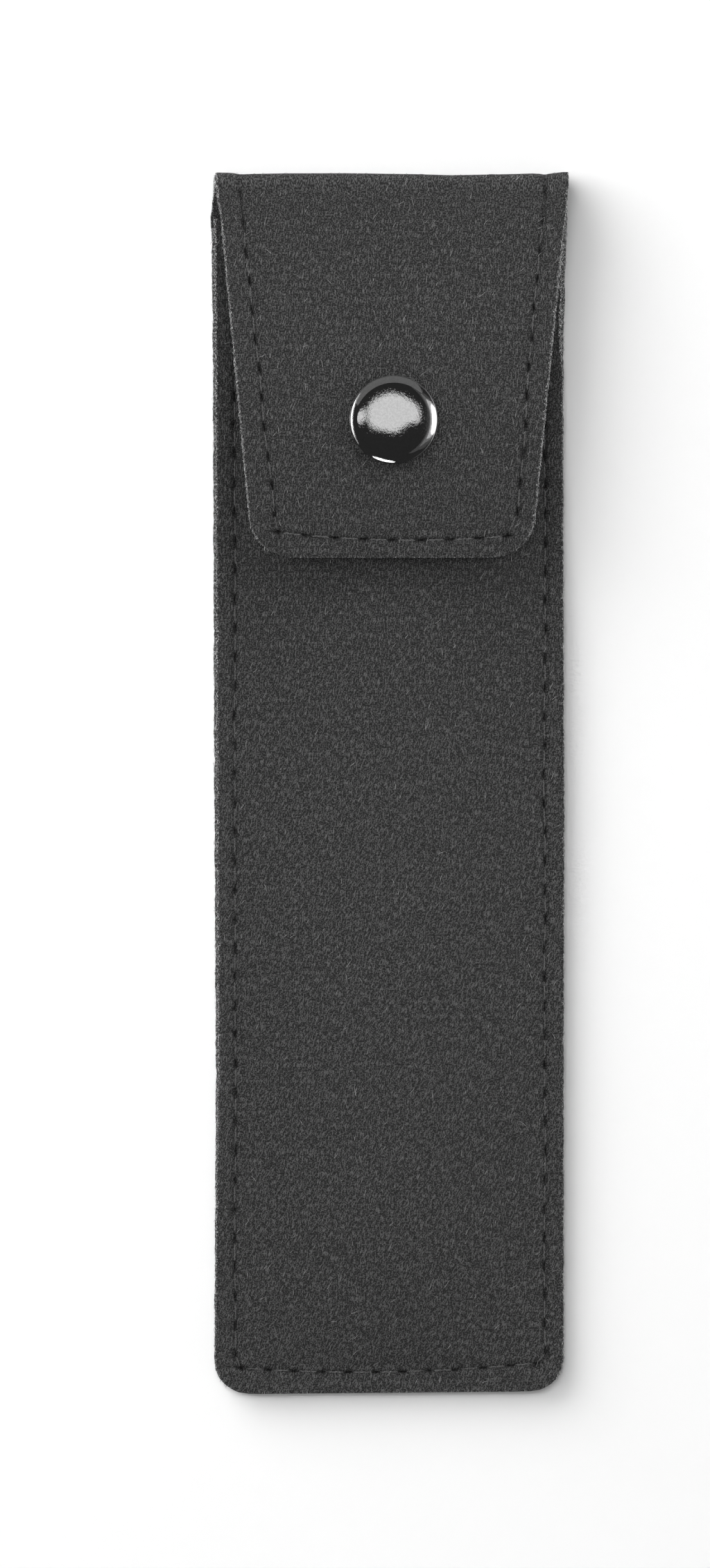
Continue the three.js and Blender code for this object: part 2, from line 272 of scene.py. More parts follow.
@dataclass
class Spine:
    """The line that the middle of a sheet's thickness follows in y and z, by its length."""

    length: np.ndarray
    place: np.ndarray
    normal: np.ndarray

    def at(self, along):
        """Place and outward normal at each length, as y, z, normal y and normal z."""
        columns = (*self.place.T, *self.normal.T)
        return [np.interp(along, self.length, column) for column in columns]


def spine_through(points, start, turn):
    """A spine through close points, whose length is 0 at the y of start."""
    steps = np.hypot(*np.diff(points, axis=0).T)
    length = np.concatenate([[0], np.cumsum(steps)])
    tangent = np.gradient(points, length, axis=0)
    normal = turn * np.stack([-tangent[:, 1], tangent[:, 0]], 1)
    length = length - np.interp(start, points[: len(points) // 2, 0], length[: len(points) // 2])
    return Spine(length, points, normal)


def arc(centre, radius, start, stop):
    """Points on an arc in y and z, without its last one."""
    turns = np.radians(np.linspace(start, stop, ARC_POINTS, endpoint=False))
    return [(centre[0] + radius * math.cos(a), centre[1] + radius * math.sin(a)) for a in turns]


def flap_height(y):
    """Height of the middle of the flap's felt."""
    rise = smooth((FOLD_CENTRE - y) / (FOLD_CENTRE - SNAP[1]))
    fall = np.clip((SNAP[1] - y) / (SNAP[1] - FLAP_END), 0, None) ** 2
    return FLAP_AT_FOLD + (FLAP_AT_SNAP - FLAP_AT_FOLD) * rise - FLAP_END_DROP * fall


FOLD_CENTRE = CASE_TOP - FOLD_RADIUS
MIDDLE_RADIUS = FOLD_RADIUS - FELT / 2
UPPER_CENTRE = FLAP_AT_FOLD + FELT / 2 - FOLD_RADIUS


def strap_spine():
    """Back, fold and flap: one cut of felt that goes along the back, up and over."""
    back_y = np.linspace(CASE_END - FUZZ_OVERHANG, FOLD_CENTRE, BACK_POINTS, endpoint=False)
    wall_z = np.linspace(FOLD_RADIUS, UPPER_CENTRE, WALL_POINTS, endpoint=False)
    flap_y = np.linspace(FOLD_CENTRE, FLAP_END - FUZZ_OVERHANG, FLAP_POINTS)
    back = [(y, FELT / 2) for y in back_y]
    lower = arc((FOLD_CENTRE, FOLD_RADIUS), MIDDLE_RADIUS, -90, 0)
    wall = [(FOLD_CENTRE + MIDDLE_RADIUS, z) for z in wall_z]
    upper = arc((FOLD_CENTRE, UPPER_CENTRE), MIDDLE_RADIUS, 0, 90)
    flap = [(y, flap_height(y)) for y in flap_y]
    return spine_through(np.array(back + lower + wall + upper + flap), CASE_END, -1)


def front_spine():
    """The front of the pocket, flat before it is lifted by what the pocket can hold."""
    ends = np.linspace(CASE_END - FUZZ_OVERHANG, MOUTH + FUZZ_OVERHANG, FRONT_POINTS)
    return spine_through(np.array([(y, 1.5 * FELT) for y in ends]), CASE_END, 1)


STRAP = strap_spine()
FRONT = front_spine()
LOWER_FOLD = FOLD_CENTRE - CASE_END
UPPER_FOLD = LOWER_FOLD + math.pi * MIDDLE_RADIUS + UPPER_CENTRE - FOLD_RADIUS
SPLIT = (LOWER_FOLD + UPPER_FOLD) / 2


def flap_along(y):
    """Length along the strap at a y of the flap."""
    over = STRAP.length > SPLIT
    return np.interp(-np.asarray(y, float), -STRAP.place[over, 0], STRAP.length[over])


def back_along(y):
    """Length along the strap, or along the front, at a y of the body."""
    return np.asarray(y, float) - CASE_END


STRAP_END = float(flap_along(FLAP_END))
FRONT_END = MOUTH - CASE_END


def rounded_in(distance, radius):
    """How far an outline steps in at a distance from the end of a rounded corner."""
    left = np.clip(radius - distance, 0, radius)
    return radius - np.sqrt(radius * radius - left * left)


def body_edges(along):
    """Left and right outline of the body, at lengths from its closed end."""
    y = along + CASE_END
    step = rounded_in(np.clip(along, 0, None), CORNER_RADIUS)
    return np.interp(y, BODY_EDGE_Y, BODY_LEFT) + step, np.interp(y, BODY_EDGE_Y, BODY_RIGHT) - step


def strap_edges(along):
    """Left and right outline of back, fold and flap."""
    stations = np.concatenate(
        [back_along(BODY_EDGE_Y), [LOWER_FOLD, SPLIT], flap_along(FLAP_EDGE_Y)]
    )
    left = np.interp(along, stations, (*BODY_LEFT, *FOLD_LEFT, *FLAP_LEFT))
    right = np.interp(along, stations, (*BODY_RIGHT, *FOLD_RIGHT, *FLAP_RIGHT))
    step = rounded_in(np.clip(along, 0, None), CORNER_RADIUS)
    step = step + rounded_in(np.clip(STRAP_END - along, 0, None), FLAP_CORNER_RADIUS)
    return left + step, right - step


def front_lean(along):
    """How far in each cut edge of the front lies, as (outer, inner) faces by (left, right)."""
    y = along + CASE_END
    left = np.interp(y, LEAN_Y, LEAN_LEFT)
    right = np.interp(y, LEAN_Y, LEAN_RIGHT)
    return (left, right), (left / 2, right / 2)


def strap_lean(along):
    """The same for the strap, whose outer face is below on the back and above on the flap."""
    y = along + CASE_END
    over = smooth((along - LOWER_FOLD) / (SPLIT - LOWER_FOLD))
    ear = EAR_LEAN * np.exp(-(((along - UPPER_FOLD) / EAR_REACH) ** 2))
    outer_left = (FLAP_LEAN + ear) * over
    outer_right = FLAP_LEAN * smooth((along - UPPER_FOLD) / RIGHT_LEAN_START)
    sewn = smooth((MOUTH - y) / FELT) / 2
    left = np.interp(y, LEAN_Y, LEAN_LEFT) * sewn
    right = np.interp(y, LEAN_Y, LEAN_RIGHT) * sewn
    return (outer_left, outer_right), (left, right)


def front_lift(x, along):
    """The pocket's bulge, nothing at the seams and full in the middle."""
    y = along + CASE_END
    across = np.clip(1 - (x / BULGE_HALF) ** 2, 0, 1) ** BULGE_POWER
    up = 1 - np.clip((y - BULGE_START) / POCKET_RISE, 0, 1)
    return POCKET_HEIGHT * across * (1 - up**RISE_POWER)


def near_fold(along):
    """1 on the fold, falling to 0 on the back and on the flap."""
    return np.exp(-(((along - SPLIT) / (UPPER_FOLD - LOWER_FOLD)) ** FOLD_POWER))


def strap_lift(x, along):
    """Small unevenness of the fold, and the flap's droop towards its free sides."""
    fold = near_fold(along)
    up_wall = smooth((along - LOWER_FOLD) / (SPLIT - LOWER_FOLD))
    push = np.interp(x, FOLD_PUSH_X, FOLD_PUSH) * fold * up_wall
    over = smooth((along - UPPER_FOLD) / (STRAP_END - UPPER_FOLD))
    side = np.abs(x / CASE_HALF) ** DROOP_POWER
    return push - FLAP_SIDE_DROOP * over * side


@dataclass
class Sheet:
    """One piece of felt: the line it follows, its outline and how it is sewn."""

    name: str
    spine: Spine
    start: float
    stop: float
    edges: Callable
    lean: Callable
    lift: Callable
    stitches: np.ndarray
    open_ends: tuple
    seed: int

    def place(self, x, along, height):
        """Points in space at a height above the middle of the felt, towards its outer face."""
        y, z, normal_y, normal_z = self.spine.at(along)
        height = height + self.lift(x, along)
        near_end = np.clip(1 - along / END_TILT_REACH, 0, 1)
        y = y + normal_y * height + near_end * END_TILT * x
        return np.stack([x, y, z + normal_z * height], -1)


# Seams


def leg(start, stop, count, sag):
    """Needle holes from start to stop, count stitches apart, with the middle pushed down by sag."""
    share = np.linspace(0, 1, count + 1)
    x = start[0] + (stop[0] - start[0]) * share
    along = start[1] + (stop[1] - start[1]) * share + sag * 4 * share * (1 - share)
    return np.stack([x, along], 1)


def side_holes(side):
    """Needle holes of one side of the strap, from the closed end up the back and down the flap."""
    sign = (-1, 1)[side]
    low = back_along(BODY_SEAM_END)
    corner = FLAP_SEAM_LOW[side]
    high = float(flap_along(corner[1]))
    along = np.linspace(low, high, round((high - low) / STITCH) + 1)
    stations = (low, LOWER_FOLD, UPPER_FOLD, high)
    line = (sign * BODY_SEAM_X, sign * BODY_SEAM_X, FLAP_SEAM_TOP[side], corner[0])
    x = np.interp(along, stations, line) + wobble(along, *SEAM_WANDER, SEAM_SEED + side)
    return np.stack([x, along], 1)


def strap_holes():
    """All needle holes of the strap as one closed run."""
    left, right = side_holes(0), side_holes(1)
    flap_corners = [(x, float(flap_along(y))) for x, y in FLAP_CORNER]
    body_corners = [(x, float(back_along(y))) for x, y in BODY_CORNER]
    flap_end = leg(*flap_corners, FLAP_END_STITCHES, FLAP_END_SAG)
    body_end = leg(body_corners[1], body_corners[0], BODY_END_STITCHES, -BODY_END_SAG)
    holes = np.concatenate([left, flap_end, right[::-1], body_end])
    holes[:, 0] += np.random.default_rng(HOLE_SEED).normal(0, HOLE_STRAY, len(holes))
    return np.concatenate([holes, holes[:1]])


def stitches_between(holes, start, stop):
    """Stitches as rows of two holes, those whose middle lies between two lengths."""
    pairs = np.stack([holes[:-1], holes[1:]], 1)
    middle = pairs[:, :, 1].mean(1)
    return pairs[(middle > start) & (middle < stop)]


def sewing(stitches, x, along):
    """How near a point is to a thread and to a needle hole, 0 to 1, and the sag about a seam."""
    groove = np.zeros(x.shape)
    hole = np.zeros(x.shape)
    sag = np.zeros(x.shape)
    for (x0, along0), (x1, along1) in stitches:
        far = np.hypot(x1 - x0, along1 - along0)
        way = ((x - x0) * (x1 - x0) + (along - along0) * (along1 - along0)) / far
        off = np.abs((x - x0) * (along1 - along0) - (along - along0) * (x1 - x0)) / far
        beyond = np.maximum(np.maximum(-way, way - far), 0)
        aside = off**2 + beyond**2
        from_hole = np.minimum(np.abs(way), np.abs(way - far))
        groove = np.maximum(groove, np.exp(-aside / GROOVE_REACH**2))
        sag = np.maximum(sag, np.exp(-aside / SEAM_SAG_REACH**2))
        dip = np.exp(-((off / HOLE_REACH) ** 2) - (from_hole / HOLE_LENGTH) ** 2)
        hole = np.maximum(hole, dip)
    return groove, hole, sag


# Meshes


def new_piece(name, points, faces, material):
    """A smooth shaded mesh from points in millimetres."""
    mesh = bpy.data.meshes.new(name)
    mesh.from_pydata((np.asarray(points) * MM).tolist(), [], faces)
    mesh.shade_smooth()
    piece = bpy.data.objects.new(name, mesh)
    bpy.context.scene.collection.objects.link(piece)
    mesh.materials.append(material)
    return piece


def add_attribute(piece, name, values):
    """A number at each vertex, for the material to read."""
    attribute = piece.data.attributes.new(name, "FLOAT", "POINT")
    attribute.data.foreach_set("value", np.asarray(values, np.float32).ravel())


def sheet_columns():
    """Columns across a sheet as (share of the width, steps in from that edge)."""
    seam = CASE_HALF - BODY_SEAM_X
    band = graded(0, EDGE_BAND, COLUMN_STEP, FINE_STEP, (0, seam, seam + 0.5), FINE_REACH)
    middle = np.linspace(0, 1, round((2 * CASE_HALF - 2 * EDGE_BAND) / COLUMN_STEP) + 1)[1:-1]
    left = [(0, step) for step in band]
    between = [(share, EDGE_BAND * (1 - 2 * share)) for share in middle]
    right = [(1, -step) for step in band[::-1]]
    return np.array(left + between + right)


def sheet_rows(sheet):
    """Rows along a sheet as (length, share of thickness), closer near its cross seams and ends."""
    across = [s[:, 1].mean() for s in sheet.stitches if abs(s[0, 1] - s[1, 1]) < 1]
    places = (*across, sheet.start, sheet.stop, LOWER_FOLD + 1, UPPER_FOLD - 1)
    along = graded(sheet.start, sheet.stop, ROW_STEP, FINE_STEP, places, FINE_REACH)
    rows = [(length, 1) for length in along]
    if sheet.open_ends[0]:
        rows = [(sheet.start - out, share) for share, out in END_ROUND[::-1]] + rows
    if sheet.open_ends[1]:
        rows += [(sheet.stop + out, share) for share, out in END_ROUND]
    return np.array(rows)


def ragged(along, seed):
    """The small unevenness of a cut felt edge."""
    waves = enumerate(RAGGED_WAVES)
    return sum(wobble(along, length, size, seed + number) for number, (length, size) in waves)


def once_round(top, right, low, left):
    """Values over a sheet's outer face, down its right side, back under it and up its left side."""
    return np.hstack([top, right, low[:, ::-1], left[:, ::-1]])


def make_felt(sheet, material):
    """The closed mesh of a sheet: rows of loops that go round both faces and both cut sides."""
    columns = sheet_columns()
    rows = sheet_rows(sheet)
    along = rows[:, :1]
    thin = rows[:, 1:]
    left, right = sheet.edges(along)
    left = left + ragged(along, sheet.seed)
    right = right + ragged(along, sheet.seed + 5)
    outer_lean, inner_lean = sheet.lean(along)

    from_end = np.full_like(along, EDGE_BAND)
    if sheet.open_ends[0]:
        from_end = np.minimum(from_end, along - sheet.start)
    if sheet.open_ends[1]:
        from_end = np.minimum(from_end, sheet.stop - along)

    beyond = along - np.clip(along, sheet.start, sheet.stop)
    rim_share, rim_out = np.array(EDGE_ROUND).T
    # Painted shade on the inner rim where the sewn layers meet, kept to the sewn length.
    line = np.interp(rim_share, LAYER_LINE_SHARES, (1, 0))[1:-1]
    between = LAYER_SHADE * (along < FRONT_END) * line

    def face(lean, side):
        low = left + lean[0]
        high = right - lean[1]
        x = low + columns[:, 0] * (high - low) + columns[:, 1]
        groove, hole, sag = sewing(sheet.stitches, x, along + 0 * x)
        hole_depth = HOLE_DEPTH if side > 0 else INNER_HOLE_DEPTH
        dent = (SEAM_SAG * sag + GROOVE_DEPTH * groove + hole_depth * hole**2) * thin
        dent = dent * (1 - FOLD_EASE * near_fold(along) * (sheet.spine is STRAP))
        near = np.minimum(np.minimum(x - low, high - x), from_end)
        spill = CUT_SPILL * np.clip(1 - near / CUT_REACH, 0, 1)
        # The third value is painted shade, dark at needle holes and along the seam groove.
        return x, side * (FELT / 2 * thin - dent), np.maximum(hole, GROOVE_SHADE * groove), spill

    def cut_side(lean_out, lean_in, edge, outward):
        lean = lean_in + (lean_out - lean_in) * (rim_share + 1) / 2
        x = edge + outward * (rim_out * thin - lean)
        height = FELT / 2 * rim_share * thin
        return x[:, 1:-1], height[:, 1:-1]

    top_x, top_height, top_painted_shade, top_cut = face(outer_lean, 1)
    low_x, low_height, low_painted_shade, low_cut = face(inner_lean, -1)
    right_x, right_height = cut_side(outer_lean[1], inner_lean[1], right, 1)
    left_x, left_height = cut_side(outer_lean[0], inner_lean[0], left, -1)
    x = once_round(top_x, right_x, low_x, left_x)
    height = once_round(top_height, right_height, low_height, left_height)
    bare = np.ones_like(between)
    # The inner face's outer columns and its closed end take the same painted shade between layers.
    low_painted_shade[:, [0, -1]] = between[:, -1:]
    low_painted_shade = np.where((beyond < 0) & (thin >= END_ROUND[0][0]), between[:, -1:], low_painted_shade)
    # Painted shade round the whole loop: holes and grooves on the faces, the layer line on the
    # sides.
    hole = once_round(top_painted_shade, between, low_painted_shade, between)
    cut = once_round(top_cut, bare, low_cut, bare)
    cut = np.where(thin < 1, 1, cut)
    from_side = np.minimum(x - x.min(1, keepdims=True), x.max(1, keepdims=True) - x)
    reach = along - beyond * (1 - smooth(from_side / END_FADE))
    points = sheet.place(x, reach, height)

    count, around = x.shape
    index = np.arange(count * around).reshape(count, around)
    ahead = np.roll(index, -1, axis=1)
    around_faces = np.stack([index[:-1], index[1:], ahead[1:], ahead[:-1]], -1).reshape(-1, 4)
    wide = len(columns)
    side = around // 2 - wide
    top = index[:, :wide]
    under = index[:, wide + side : 2 * wide + side][:, ::-1]
    first = np.stack([top[0, :-1], top[0, 1:], under[0, 1:], under[0, :-1]], -1)
    last = np.stack([top[-1, :-1], under[-1, :-1], under[-1, 1:], top[-1, 1:]], -1)
    end_sides = close_sides(index, wide, side)
    faces = np.concatenate([around_faces, first, last, end_sides]).tolist()
    piece = new_piece(sheet.name, points.reshape(-1, 3), faces, material)
    piece.data.set_sharp_from_angle(angle=math.radians(FELT_SHARP_ANGLE))
    add_attribute(piece, "cut", cut)
    # The 'hole' attribute carries painted shade: needle holes, seam grooves and the line between
    # sewn layers.
    add_attribute(piece, "hole", hole)
    add_felt_map(piece, sheet, x, along + np.sign(beyond) * (1 - thin) * FELT / 2, wide, side)
    return piece


def close_sides(index, wide, side):
    """Faces that close both ends of a sheet beyond its outermost columns."""
    faces = []
    for row, flip in ((0, False), (-1, True)):
        loop = index[row]
        right = loop[wide - 1 : wide + side + 1]
        left = np.concatenate([loop[2 * wide + side - 1 :], loop[:1]])
        for run in (right, left):
            while len(run) >= 4:
                quad = [run[0], run[1], run[-2], run[-1]]
                faces.append(quad[::-1] if flip else quad)
                run = run[1:-1]
    return faces


def felt_level(sheet, along):
    """The y at which a length of the sheet would be seen from above if the fold lay flat."""
    if sheet.spine is STRAP and sheet.start > 0:
        return CASE_TOP + SPLIT - along
    return along + CASE_END


def add_felt_map(piece, sheet, x, along, wide, side):
    """A map in millimetres that runs round the sheet unstretched, for the lie of the fibres."""
    around = x.shape[1]
    flat = np.abs(np.diff(np.hstack([x, x[:, :1]]), axis=1))
    on_side = np.zeros(around, bool)
    on_side[wide - 1 : wide + side] = True
    on_side[2 * wide + side - 1 :] = True
    flat = np.where(on_side, FELT / (side + 1), flat)
    across = x[:, :1] + np.hstack([np.zeros((len(x), 1)), np.cumsum(flat, axis=1)])
    here, ahead = across[:, :-1], across[:, 1:]
    length = felt_level(sheet, along) + 0 * here
    corner = [
        np.stack([here[:-1], length[:-1]], -1),
        np.stack([here[1:], length[1:]], -1),
        np.stack([ahead[1:], length[1:]], -1),
        np.stack([ahead[:-1], length[:-1]], -1),
    ]
    body = np.stack(corner, -2).reshape(-1, 2)
    points = np.zeros(len(piece.data.vertices) * 3)
    piece.data.vertices.foreach_get("co", points)
    loops = np.zeros(len(piece.data.loops), int)
    piece.data.loops.foreach_get("vertex_index", loops)
    ends = points.reshape(-1, 3)[loops[len(body) :]][:, [0, 2]] / MM
    layer = piece.data.uv_layers.new(name="felt_mm")
    layer.data.foreach_set("uv", np.concatenate([body, ends]).astype(np.float32).ravel())


TUBE_UP = (0.23, 0.11, 0.97)
LOBE_SHARE = 0.3
TAPER_SHARE = 0.75
LEAST_RADIUS = 0.02


def tubes(name, paths, radius, around, material, lobes=0, twist=0, taper=False):
    """Tubes along paths of equal point count, an array of (tube, point, xyz)."""
    paths = np.asarray(paths)
    count, steps, _ = paths.shape
    tangent = np.gradient(paths, axis=1)
    tangent /= np.linalg.norm(tangent, axis=2, keepdims=True) + 1e-12
    first = np.cross(tangent, np.broadcast_to(TUBE_UP, tangent.shape))
    first /= np.linalg.norm(first, axis=2, keepdims=True) + 1e-12
    second = np.cross(tangent, first)
    step = np.linalg.norm(np.diff(paths, axis=1), axis=2)
    gone = np.hstack([np.zeros((count, 1)), np.cumsum(step, axis=1)])
    turn = np.linspace(0, 2 * math.pi, around, endpoint=False)
    swell = np.ones((count, steps, around))
    if lobes:
        swell = 1 + LOBE_SHARE * np.cos(lobes * (turn - twist * gone[..., None]))
    if taper:
        swell = swell * (1 - TAPER_SHARE * np.linspace(0, 1, steps) ** 2)[None, :, None]
    reach = (radius * swell)[..., None]
    ring = first[:, :, None] * np.cos(turn)[:, None] + second[:, :, None] * np.sin(turn)[:, None]
    points = paths[:, :, None] + reach * ring
    index = np.arange(count * steps * around).reshape(count, steps, around)
    ahead = np.roll(index, -1, axis=2)
    corners = [index[:, :-1], ahead[:, :-1], ahead[:, 1:], index[:, 1:]]
    faces = np.stack(corners, -1).reshape(-1, 4).tolist()
    faces += index[:, 0, ::-1].tolist() + index[:, -1].tolist()
    return new_piece(name, points.reshape(-1, 3), faces, material)


def turned(name, profile, centre, material, segments=96):
    """A piece turned about an upright axis, from a closed profile of (radius, height) points."""
    profile = np.array(profile)
    turn = np.linspace(0, 2 * math.pi, segments, endpoint=False)
    ring = np.stack([np.cos(turn), np.sin(turn)], 1)
    radius = np.maximum(profile[:, 0], LEAST_RADIUS)
    flat = radius[:, None, None] * ring[None]
    height = np.broadcast_to(profile[:, 1][:, None, None], (len(profile), segments, 1))
    points = np.concatenate([flat, height], 2) + np.array([centre[0], centre[1], 0])
    index = np.arange(len(profile) * segments).reshape(len(profile), segments)
    ahead = np.roll(index, -1, axis=1)
    above = np.roll(index, -1, axis=0)
    both = np.roll(above, -1, axis=1)
    faces = np.stack([index, ahead, both, above], -1).reshape(-1, 4).tolist()
    piece = new_piece(name, points.reshape(-1, 3), faces, material)
    piece.data.set_sharp_from_angle(angle=math.radians(METAL_SHARP_ANGLE))
    return piece


# Threads and loose fibres


def thread_paths(sheet, stitches, side):
    """Each stitch's path: up out of one needle hole, along its groove and down the next."""
    share = np.linspace(0, 1, THREAD_POINTS)
    rise = smooth(np.minimum(share, 1 - share) / THREAD_RISE_SHARE)
    depth = THREAD_HOLE_DEPTH + (THREAD_DEPTH - THREAD_HOLE_DEPTH) * rise
    x = stitches[:, :1, 0] + (stitches[:, 1:, 0] - stitches[:, :1, 0]) * share
    along = stitches[:, :1, 1] + (stitches[:, 1:, 1] - stitches[:, :1, 1]) * share
    return sheet.place(x, along, side * (FELT / 2 - depth) + 0 * x)


def make_thread(name, sheet, side, material):
    """The thread that shows on one face of a sheet."""
    paths = thread_paths(sheet, sheet.stitches, side)
    return tubes(
        name, paths, THREAD_RADIUS, THREAD_SIDES, material, lobes=THREAD_PLIES, twist=THREAD_TWIST
    )


def lying_fibres(sheet, count, seed, span):
    """Loose fibres that lie on a sheet's outer face, as paths."""
    chance = np.random.default_rng(seed)
    along = chance.uniform(*span, count)
    left, right = sheet.edges(along)
    x = left + LYING_INSET + (right - left - 2 * LYING_INSET) * chance.uniform(0, 1, count)
    heading = chance.normal(*map(math.radians, LYING_HEADING), count)
    curl = chance.normal(*LYING_CURL, count)
    length = chance.uniform(*LYING_LENGTH, count)
    share = np.linspace(0, 1, LYING_POINTS)
    turn = heading[:, None] + curl[:, None] * share
    step = length[:, None] / (len(share) - 1)
    path_x = x[:, None] + np.cumsum(np.cos(turn) * step, axis=1)
    path_along = along[:, None] + np.cumsum(np.sin(turn) * step, axis=1) * sheet_way(sheet)
    lift = chance.uniform(0, LYING_LIFT, count)[:, None] * np.sin(math.pi * share)
    height = FELT / 2 + LYING_HEIGHT + lift
    return sheet.place(path_x, np.clip(path_along, *span), height)


def sheet_way(sheet):
    """-1 where a sheet's outer face is seen with its length running down the photograph."""
    return -1 if sheet.spine is STRAP and sheet.start > 0 else 1


def edge_fibres(sheet, count, seed, span):
    """Short fibres that stand out of both cut sides, as paths."""
    chance = np.random.default_rng(seed)
    along = chance.uniform(*span, count)
    left, right = sheet.edges(along)
    side = chance.integers(0, 2, count)
    edge = np.where(side == 1, right, left)
    outward = np.where(side == 1, 1.0, -1.0)
    outer_lean, inner_lean = sheet.lean(along)
    level = chance.uniform(*EDGE_LEVEL_SHARES, count)
    inner, outer = (np.where(side == 1, lean[1], lean[0]) for lean in (inner_lean, outer_lean))
    lean = inner + (outer - inner) * (level + 1) / 2
    root = edge + outward * (EDGE_OUT - lean)
    reach = np.abs(chance.normal(0, EDGE_REACH[1], count)) + EDGE_REACH[0]
    drift = chance.normal(0, EDGE_DRIFT, count)
    rise = chance.normal(*EDGE_RISE, count)
    share = np.linspace(0, 1, EDGE_POINTS)
    x = root[:, None] + outward[:, None] * reach[:, None] * np.sin(share * EDGE_CURL)
    path_along = along[:, None] + drift[:, None] * share
    height = np.clip(level[:, None] * FELT / 2 + rise[:, None] * share, -FELT / 2, FELT / 2)
    return sheet.place(x, path_along, height)


# Materials


class Shader:
    """A material whose nodes are added one call at a time."""

    def __init__(self, name, **surface):
        self.material = bpy.data.materials.new(name)
        self.material.use_nodes = True
        self.nodes = self.material.node_tree.nodes
        self.links = self.material.node_tree.links
        self.surface = self.nodes["Principled BSDF"]
        self.fill(self.surface, {key.replace("_", " "): value for key, value in surface.items()})

    def fill(self, node, inputs):
        """Sets a node's inputs, by name or number, to values or to other nodes' outputs."""
        for key, value in inputs.items():
            if isinstance(value, bpy.types.NodeSocket):
                self.links.new(value, node.inputs[key])
            else:
                node.inputs[key].default_value = value

    def add(self, kind, inputs=None, **settings):
        """Adds a node and returns it."""
        node = self.nodes.new("ShaderNode" + kind)
        for key, value in settings.items():
            setattr(node, key, value)
        self.fill(node, inputs or {})
        return node

    def math(self, operation, first, second=0.0, third=0.0):
        """The result of a sum on sockets or numbers."""
        node = self.add("Math", {0: first, 1: second, 2: third}, operation=operation)
        return node.outputs[0]

    def noise(self, vector, scale, detail=2.0, roughness=0.5):
        """A noise's value at a vector."""
        inputs = {"Vector": vector, "Scale": scale, "Detail": detail, "Roughness": roughness}
        return self.add("TexNoise", inputs).outputs[0]

    def ease(self, value, low, high, first=0.0, last=1.0):
        """A value mapped smoothly from low..high to first..last, and held there beyond."""
        inputs = {
            "Value": value, "From Min": low, "From Max": high, "To Min": first, "To Max": last,
        }
        return self.add("MapRange", inputs, interpolation_type="SMOOTHSTEP").outputs[0]

    def mix(self, share, first, second):
        """A colour between two colours."""
        node = self.add("Mix", data_type="RGBA")
        self.fill(node, {0: share, 6: first, 7: second})
        return node.outputs[2]

    def bump(self, height, distance, strength=1.0):
        """A normal from a height."""
        inputs = {"Height": height, "Distance": distance, "Strength": strength}
        return self.add("Bump", inputs).outputs[0]


def grey(level, warmth=0.0):
    """A grey by its screen value from 0 to 255, as linear colour."""
    channels = [(level + warmth) / 255, level / 255, (level - warmth) / 255]
    linear = [c / 12.92 if c < 0.04045 else ((c + 0.055) / 1.055) ** 2.4 for c in channels]
    return (*linear, 1.0)


FIBRE_EDGES = (0.59, 0.73)
FIBRE_LAYERS = (
    (15, 0.14, 1.0, (0.85, 0.85, 0.3)),
    (31, 0.14, 0.9, (0.45, 1.1, 0.3)),
    (-1, 0.14, 1.1, (0.9, 0.85, 0.3)),
    (66, 0.14, 0.6, (0.3, 0.6, 0.4)),
    (-50, 0.14, 0.6, (0.3, 0.6, 0.4)),
)
# Where the lower fibre mix takes over. The change of lie is grain, but the mix's larger fibre weight
# also paints the lower body lighter; its start is placed to offset the lamps' fall-off along the
# case, which is painted light.
LIE_LEVELS = (36, -10)
FOLD_LIE_LEVELS = (72, 86)
# Painted sheen: how much lighter the felt is made at the fold.
FOLD_PAINTED_SHEEN = 0.13
GRAIN_SCALE = (5.6, 4.6, 1)
LAYER_OFFSET = (7.3, 3.1)
FACE_GREYS = (35, 98)
CUT_GREYS = (45, 240)
# The near black painted as shade into needle holes, seam grooves and the line between layers, and
# how far it goes.
PAINTED_SHADE_GREY = 10
PAINTED_SHADE_SHARE = 0.78
SPECKLE_SCALE = 2.8
FELT_RELIEF = 0.05


def fibre_layer(shader, vector, lean, spacing, length, seed):
    """Fine strands that lie about one way, from a stretched noise."""
    turn = (0, 0, math.radians(lean))
    offset = (seed * LAYER_OFFSET[0], seed * LAYER_OFFSET[1], 0)
    turned = {"Vector": vector, "Rotation": turn, "Location": offset}
    place = shader.add("Mapping", turned).outputs[0]
    scaled = {"Vector": place, "Scale": (1 / spacing, 1 / length, 1)}
    stretched = shader.add("Mapping", scaled).outputs[0]
    level = shader.noise(stretched, 1.0, detail=0.0)
    return shader.ease(level, *FIBRE_EDGES)


def felt_fibres(shader, vector):
    """The lines of the fibres: along the flap, more aslant below it and every way at the fold, where
    the felt is also painted lighter as sheen.
    """
    level = shader.add("SeparateXYZ", {0: vector}).outputs[1]
    low = shader.ease(level, *LIE_LEVELS)
    fold = shader.ease(level, *FOLD_LIE_LEVELS)
    # Painted sheen: the felt near the fold starts lighter, standing in for its fuzz catching light.
    fibres = shader.math("MULTIPLY", fold, FOLD_PAINTED_SHEEN)
    for number, (lean, spacing, length, shares) in enumerate(FIBRE_LAYERS):
        lines = fibre_layer(shader, vector, lean, spacing, length, number + 1)
        weight = shader.math("MULTIPLY_ADD", low, shares[1] - shares[0], shares[0])
        weight = shader.math("MULTIPLY_ADD", fold, shares[2] - shares[0], weight)
        fibres = shader.math("MULTIPLY_ADD", lines, weight, fibres)
    return fibres


